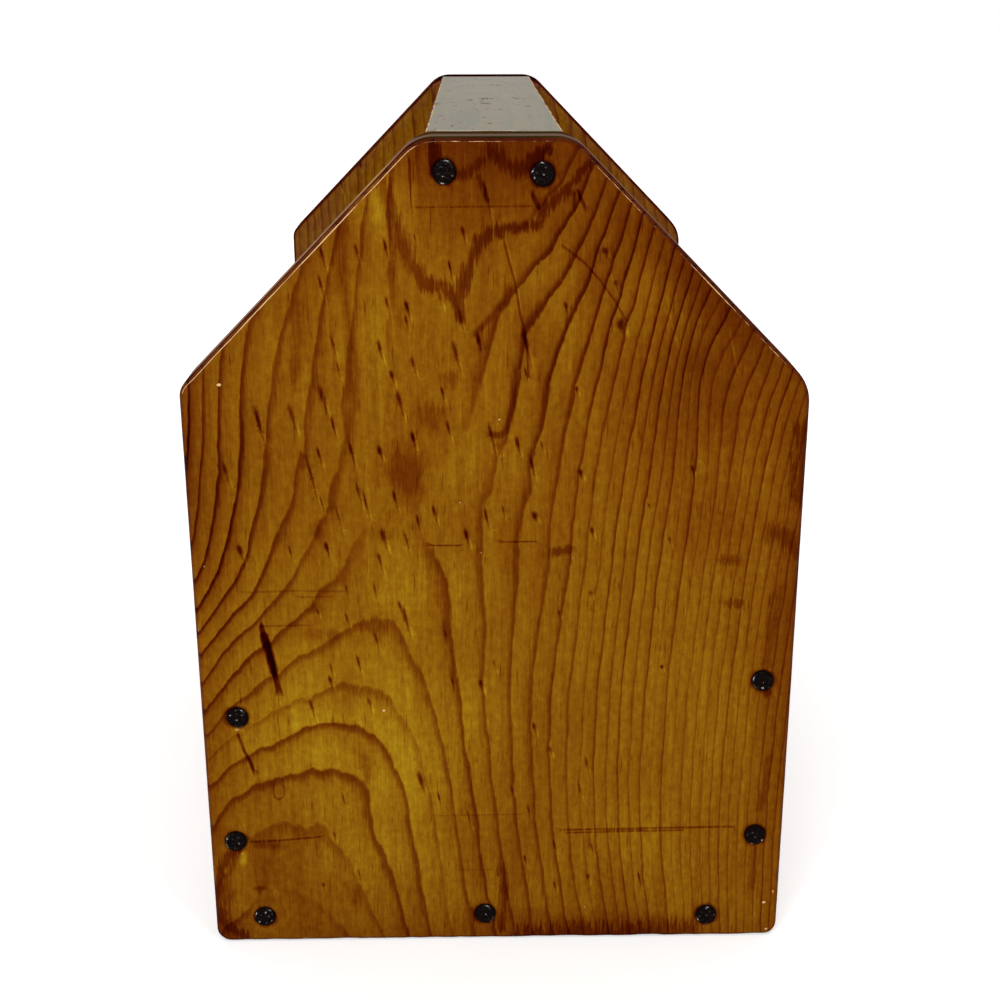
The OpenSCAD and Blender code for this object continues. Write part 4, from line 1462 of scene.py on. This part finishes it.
def nail_mesh(name, nails, length_mm, seed):
    """One hammered nail along -Z with the top of its head at z = 0, in millimetres."""
    rng = random.Random(seed)
    rim = nails.head_round * PER_METRE
    depth = nails.mark_depth * PER_METRE
    pitch = nails.mark_pitch * PER_METRE
    turn = rng.uniform(0.0, math.pi)
    drift = (rng.uniform(0.0, pitch), rng.uniform(0.0, pitch))
    arcs = [(rng.uniform(-math.pi, math.pi), rng.uniform(0.3, 0.8)) for _ in range(2)]
    shape = bmesh.new()
    flat = HEAD_RADIUS - rim
    below = -HEAD_THICKNESS
    profile = [
        *((flat * part, 0.0) for part in HEAD_RINGS),
        *((flat + rim * math.sin(a), rim * (math.cos(a) - 1.0)) for a in RIM_ANGLES),
        (HEAD_RADIUS, below * 0.75),
        (HEAD_RADIUS * 0.94, below),
        (SHANK_RADIUS * 1.25, below - 0.15),
        (SHANK_RADIUS, below - 0.7),
        *((SHANK_RADIUS, -length_mm * part) for part in (0.3, 0.6, 0.85)),
        (SHANK_RADIUS, TIP_LENGTH - length_mm),
        (SHANK_RADIUS * 0.5, TIP_LENGTH * 0.5 - length_mm),
        (SHANK_RADIUS * 0.08, -length_mm),
    ]

    def chequer(x, y):
        u = (x * math.cos(turn) - y * math.sin(turn) + drift[0]) * math.pi / pitch
        v = (x * math.sin(turn) + y * math.cos(turn) + drift[1]) * math.pi / pitch
        return math.sin(u) * math.sin(v)

    def hammered(x, y):
        blow = noise.noise(Vector((x * 0.45, y * 0.45, seed * 3.7)))
        return -depth * max(0.0, min(1.0, 0.4 - 0.8 * chequer(x, y) + 0.3 * blow)) - 0.12 * max(0.0, blow)

    def glint_share(x, y, part, radius):
        """How strong the painted glint is at a spot: arcs of the rim, and one side of some raised squares."""
        if radius > flat:
            turns = [(math.remainder(part - middle, 2 * math.pi), width) for middle, width in arcs]
            return max(1.0 - abs(away) / width for away, width in turns)
        lucky = noise.noise(Vector((x * 0.8, y * 0.8, seed * 5.3))) > 0.1
        return 0.9 * chequer(x - 0.3, y + 0.3) if lucky else 0.0

    rings = []
    glints = []
    for radius, height in profile:
        ring = []
        for step in range(NAIL_SEGMENTS):
            part = 2 * math.pi * step / NAIL_SEGMENTS
            lump = 1.0
            if height > below - 0.05:
                uneven = noise.noise(Vector((math.cos(part) * 1.3, math.sin(part) * 1.3, seed * 1.9)))
                lump = 0.98 + 0.03 * uneven - 0.05 * math.cos(part - turn) ** 2
            x, y = radius * lump * math.cos(part), radius * lump * math.sin(part)
            on_top = height > -rim * 0.6
            ring.append(shape.verts.new((x, y, height + (hammered(x, y) if on_top else 0.0))))
            glints.append(glint_share(x, y, part, radius) if on_top else 0.0)
        rings.append(ring)
    crown = shape.verts.new((0.0, 0.0, hammered(0.0, 0.0)))
    point = shape.verts.new((0.0, 0.0, -length_mm))
    for step in range(NAIL_SEGMENTS):
        after = (step + 1) % NAIL_SEGMENTS
        shape.faces.new((crown, rings[0][step], rings[0][after]))
        shape.faces.new((point, rings[-1][after], rings[-1][step]))
        for upper, lower in zip(rings, rings[1:]):
            shape.faces.new((upper[step], lower[step], lower[after], upper[after]))
    mesh = smooth_mesh(name, shape)
    # The glint share is a painted highlight that the nail material reads
    paint(mesh, "glint", [*glints, 0.0, 0.0])
    return mesh


def build_nail(context, node, seed):
    """A nail where its node lies, head outwards."""
    nails = context.scene.caddy_nails
    low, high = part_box(node)
    middle = (low + high) / 2
    long_way = max(range(3), key=lambda axis: high[axis] - low[axis])
    outwards = Vector((0.0, 0.0, 0.0))
    outwards[long_way] = 1.0 if node.startswith("rear_") else -1.0
    tip_to_head = high[long_way] - low[long_way]
    top = middle + outwards * tip_to_head / 2
    mesh = nail_mesh(node + "_hammered", nails, tip_to_head * PER_METRE, seed)
    turn = outwards.to_track_quat("Z", "Y").to_matrix().to_4x4()
    mesh.transform(Matrix.Translation(top) @ turn @ Matrix.Scale(MM, 4))
    add_piece(node + "_hammered", mesh, nail_material(nails), [node])


def drive_nails(context, nodes, first_seed):
    """Build a nail for each of the nodes, in the order of their names."""
    if not nodes:
        raise RuntimeError("The frame holds none of these nails")
    for number, node in enumerate(sorted(nodes)):
        build_nail(context, node, first_seed + number)


class CADDY_OT_end_nails(Operator):
    """Drive the nails through both end boards"""

    bl_idname = "caddy.end_nails"
    bl_label = "End Nails"

    def execute(self, context):
        nodes = [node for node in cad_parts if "_nail_" in node and "_floor_" not in node]
        drive_nails(context, nodes, END_NAIL_SEED)
        return {"FINISHED"}


class CADDY_OT_floor_nails(Operator):
    """Drive the nails up through the bottom board into the sides"""

    bl_idname = "caddy.floor_nails"
    bl_label = "Floor Nails"

    def execute(self, context):
        nodes = [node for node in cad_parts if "_floor_nail_" in node]
        drive_nails(context, nodes, FLOOR_NAIL_SEED)
        return {"FINISHED"}


# Stage

def add_lamp(name, place, target, width, height, watts):
    """A soft area lamp that faces the target."""
    data = bpy.data.lights.new(name, "AREA")
    data.shape = "RECTANGLE"
    data.size = width
    data.size_y = height
    data.energy = watts
    lamp = bpy.data.objects.new(name, data)
    lamp.location = place
    lamp.rotation_euler = (Vector(target) - Vector(place)).to_track_quat("-Z", "Y").to_euler()
    bpy.context.scene.collection.objects.link(lamp)


def seen_directly(w):
    """1 for camera, glossy and transmission rays, 0 for the light that falls on the object."""
    path = w.node("ShaderNodeLightPath").outputs
    seen = w.math("MAXIMUM", path["Is Camera Ray"], path["Is Glossy Ray"])
    return w.math("MAXIMUM", seen, path["Is Transmission Ray"])


class CADDY_OT_stage(Operator):
    """Set the floor, the white surround, the lamps and the camera"""

    bl_idname = "caddy.stage"
    bl_label = "Stage"

    def execute(self, context):
        stage = context.scene.caddy_stage
        scene = context.scene
        scene.view_settings.view_transform = "Standard"
        self.add_camera(scene, stage)
        self.add_floor(scene, stage)
        self.add_surround(scene, stage)
        for *lamp, power_setting in LAMPS:
            add_lamp(*lamp, getattr(stage, power_setting))
        return {"FINISHED"}

    def add_camera(self, scene, stage):
        data = bpy.data.cameras.new("photo_camera")
        data.sensor_width = SENSOR_WIDTH
        data.lens = stage.camera_lens
        data.clip_start = 0.01
        camera = bpy.data.objects.new("photo_camera", data)
        level = math.pi / 2 - stage.camera_pitch
        turn = (Matrix.Rotation(stage.camera_yaw, 4, "Z") @ Matrix.Rotation(level, 4, "X")
                @ Matrix.Rotation(stage.camera_roll, 4, "Z"))
        camera.matrix_world = Matrix.Translation(stage.camera_place) @ turn
        scene.collection.objects.link(camera)
        scene.camera = camera

    def add_floor(self, scene, stage):
        reach = 4.0
        level = -0.0002
        corners = [
            (-reach, -reach, level), (reach, -reach, level), (reach, reach, level), (-reach, reach, level),
        ]
        mesh = bpy.data.meshes.new("studio_floor")
        mesh.from_pydata(corners, [], [(0, 1, 2, 3)])
        floor = bpy.data.objects.new("studio_floor", mesh)
        scene.collection.objects.link(floor)
        material, w = fresh_material("studio_floor")
        paper = w.node("ShaderNodeBsdfDiffuse")
        w.feed(paper.inputs["Color"], stage.floor_colour)
        away = w.node("ShaderNodeVectorMath", operation="LENGTH")
        w.feed(away.inputs[0], w.node("ShaderNodeTexCoord").outputs["Object"])
        far = w.step(away.outputs["Value"], 0.3, 1.6)
        strength = w.math("MULTIPLY_ADD", far, stage.far_glow - stage.floor_glow, stage.floor_glow)
        glow = w.node("ShaderNodeEmission")
        w.feed(glow.inputs["Strength"], w.math("MULTIPLY", seen_directly(w), strength))
        both = w.node("ShaderNodeAddShader")
        w.feed(both.inputs[0], paper.outputs[0])
        w.feed(both.inputs[1], glow.outputs[0])
        w.feed(w.node("ShaderNodeOutputMaterial").inputs["Surface"], both.outputs[0])
        mesh.materials.append(material)

    def add_surround(self, scene, stage):
        world = bpy.data.worlds.new("white_surround")
        world.use_nodes = True
        world.node_tree.nodes.clear()
        w = Wiring(world.node_tree)
        sky = w.node("ShaderNodeBackground")
        w.feed(sky.inputs["Color"], (1.0, 1.0, 1.0))
        strength = w.math("MULTIPLY_ADD", seen_directly(w), 1.0 - stage.sky_light, stage.sky_light)
        w.feed(sky.inputs["Strength"], strength)
        w.feed(w.node("ShaderNodeOutputWorld").inputs["Surface"], sky.outputs[0])
        scene.world = world


class CADDY_PT_sidebar(Panel):
    """Lists the caddy's settings and the steps that build it"""

    bl_idname = "CADDY_PT_sidebar"
    bl_label = "Tool Caddy"
    bl_space_type = "VIEW_3D"
    bl_region_type = "UI"
    bl_category = "Tool Caddy"

    def draw(self, context):
        for operator in STEPS:
            self.layout.operator(operator.bl_idname)
        for name in SETTINGS:
            box = self.layout.box()
            settings = getattr(context.scene, name)
            for key in settings.__annotations__:
                box.prop(settings, key)


SETTINGS = {
    "caddy_boards": CaddyBoardSettings,
    "caddy_wood": CaddyWoodSettings,
    "caddy_nails": CaddyNailSettings,
    "caddy_stage": CaddyStageSettings,
}
STEPS = (
    CADDY_OT_stage, CADDY_OT_end_boards, CADDY_OT_tray_boards, CADDY_OT_handle_bar,
    CADDY_OT_end_nails, CADDY_OT_floor_nails,
)
CLASSES = (*SETTINGS.values(), *STEPS, CADDY_PT_sidebar)


def register():
    for kind in CLASSES:
        bpy.utils.register_class(kind)
    for name, kind in SETTINGS.items():
        setattr(bpy.types.Scene, name, PointerProperty(type=kind))


def unregister():
    for name in SETTINGS:
        delattr(bpy.types.Scene, name)
    for kind in reversed(CLASSES):
        bpy.utils.unregister_class(kind)


def main():
    """Build everything in order."""
    register()
    bpy.ops.caddy.stage()
    bpy.ops.caddy.end_boards()
    bpy.ops.caddy.tray_boards()
    bpy.ops.caddy.handle_bar()
    bpy.ops.caddy.end_nails()
    bpy.ops.caddy.floor_nails()


if __name__ == "__main__":
    main()
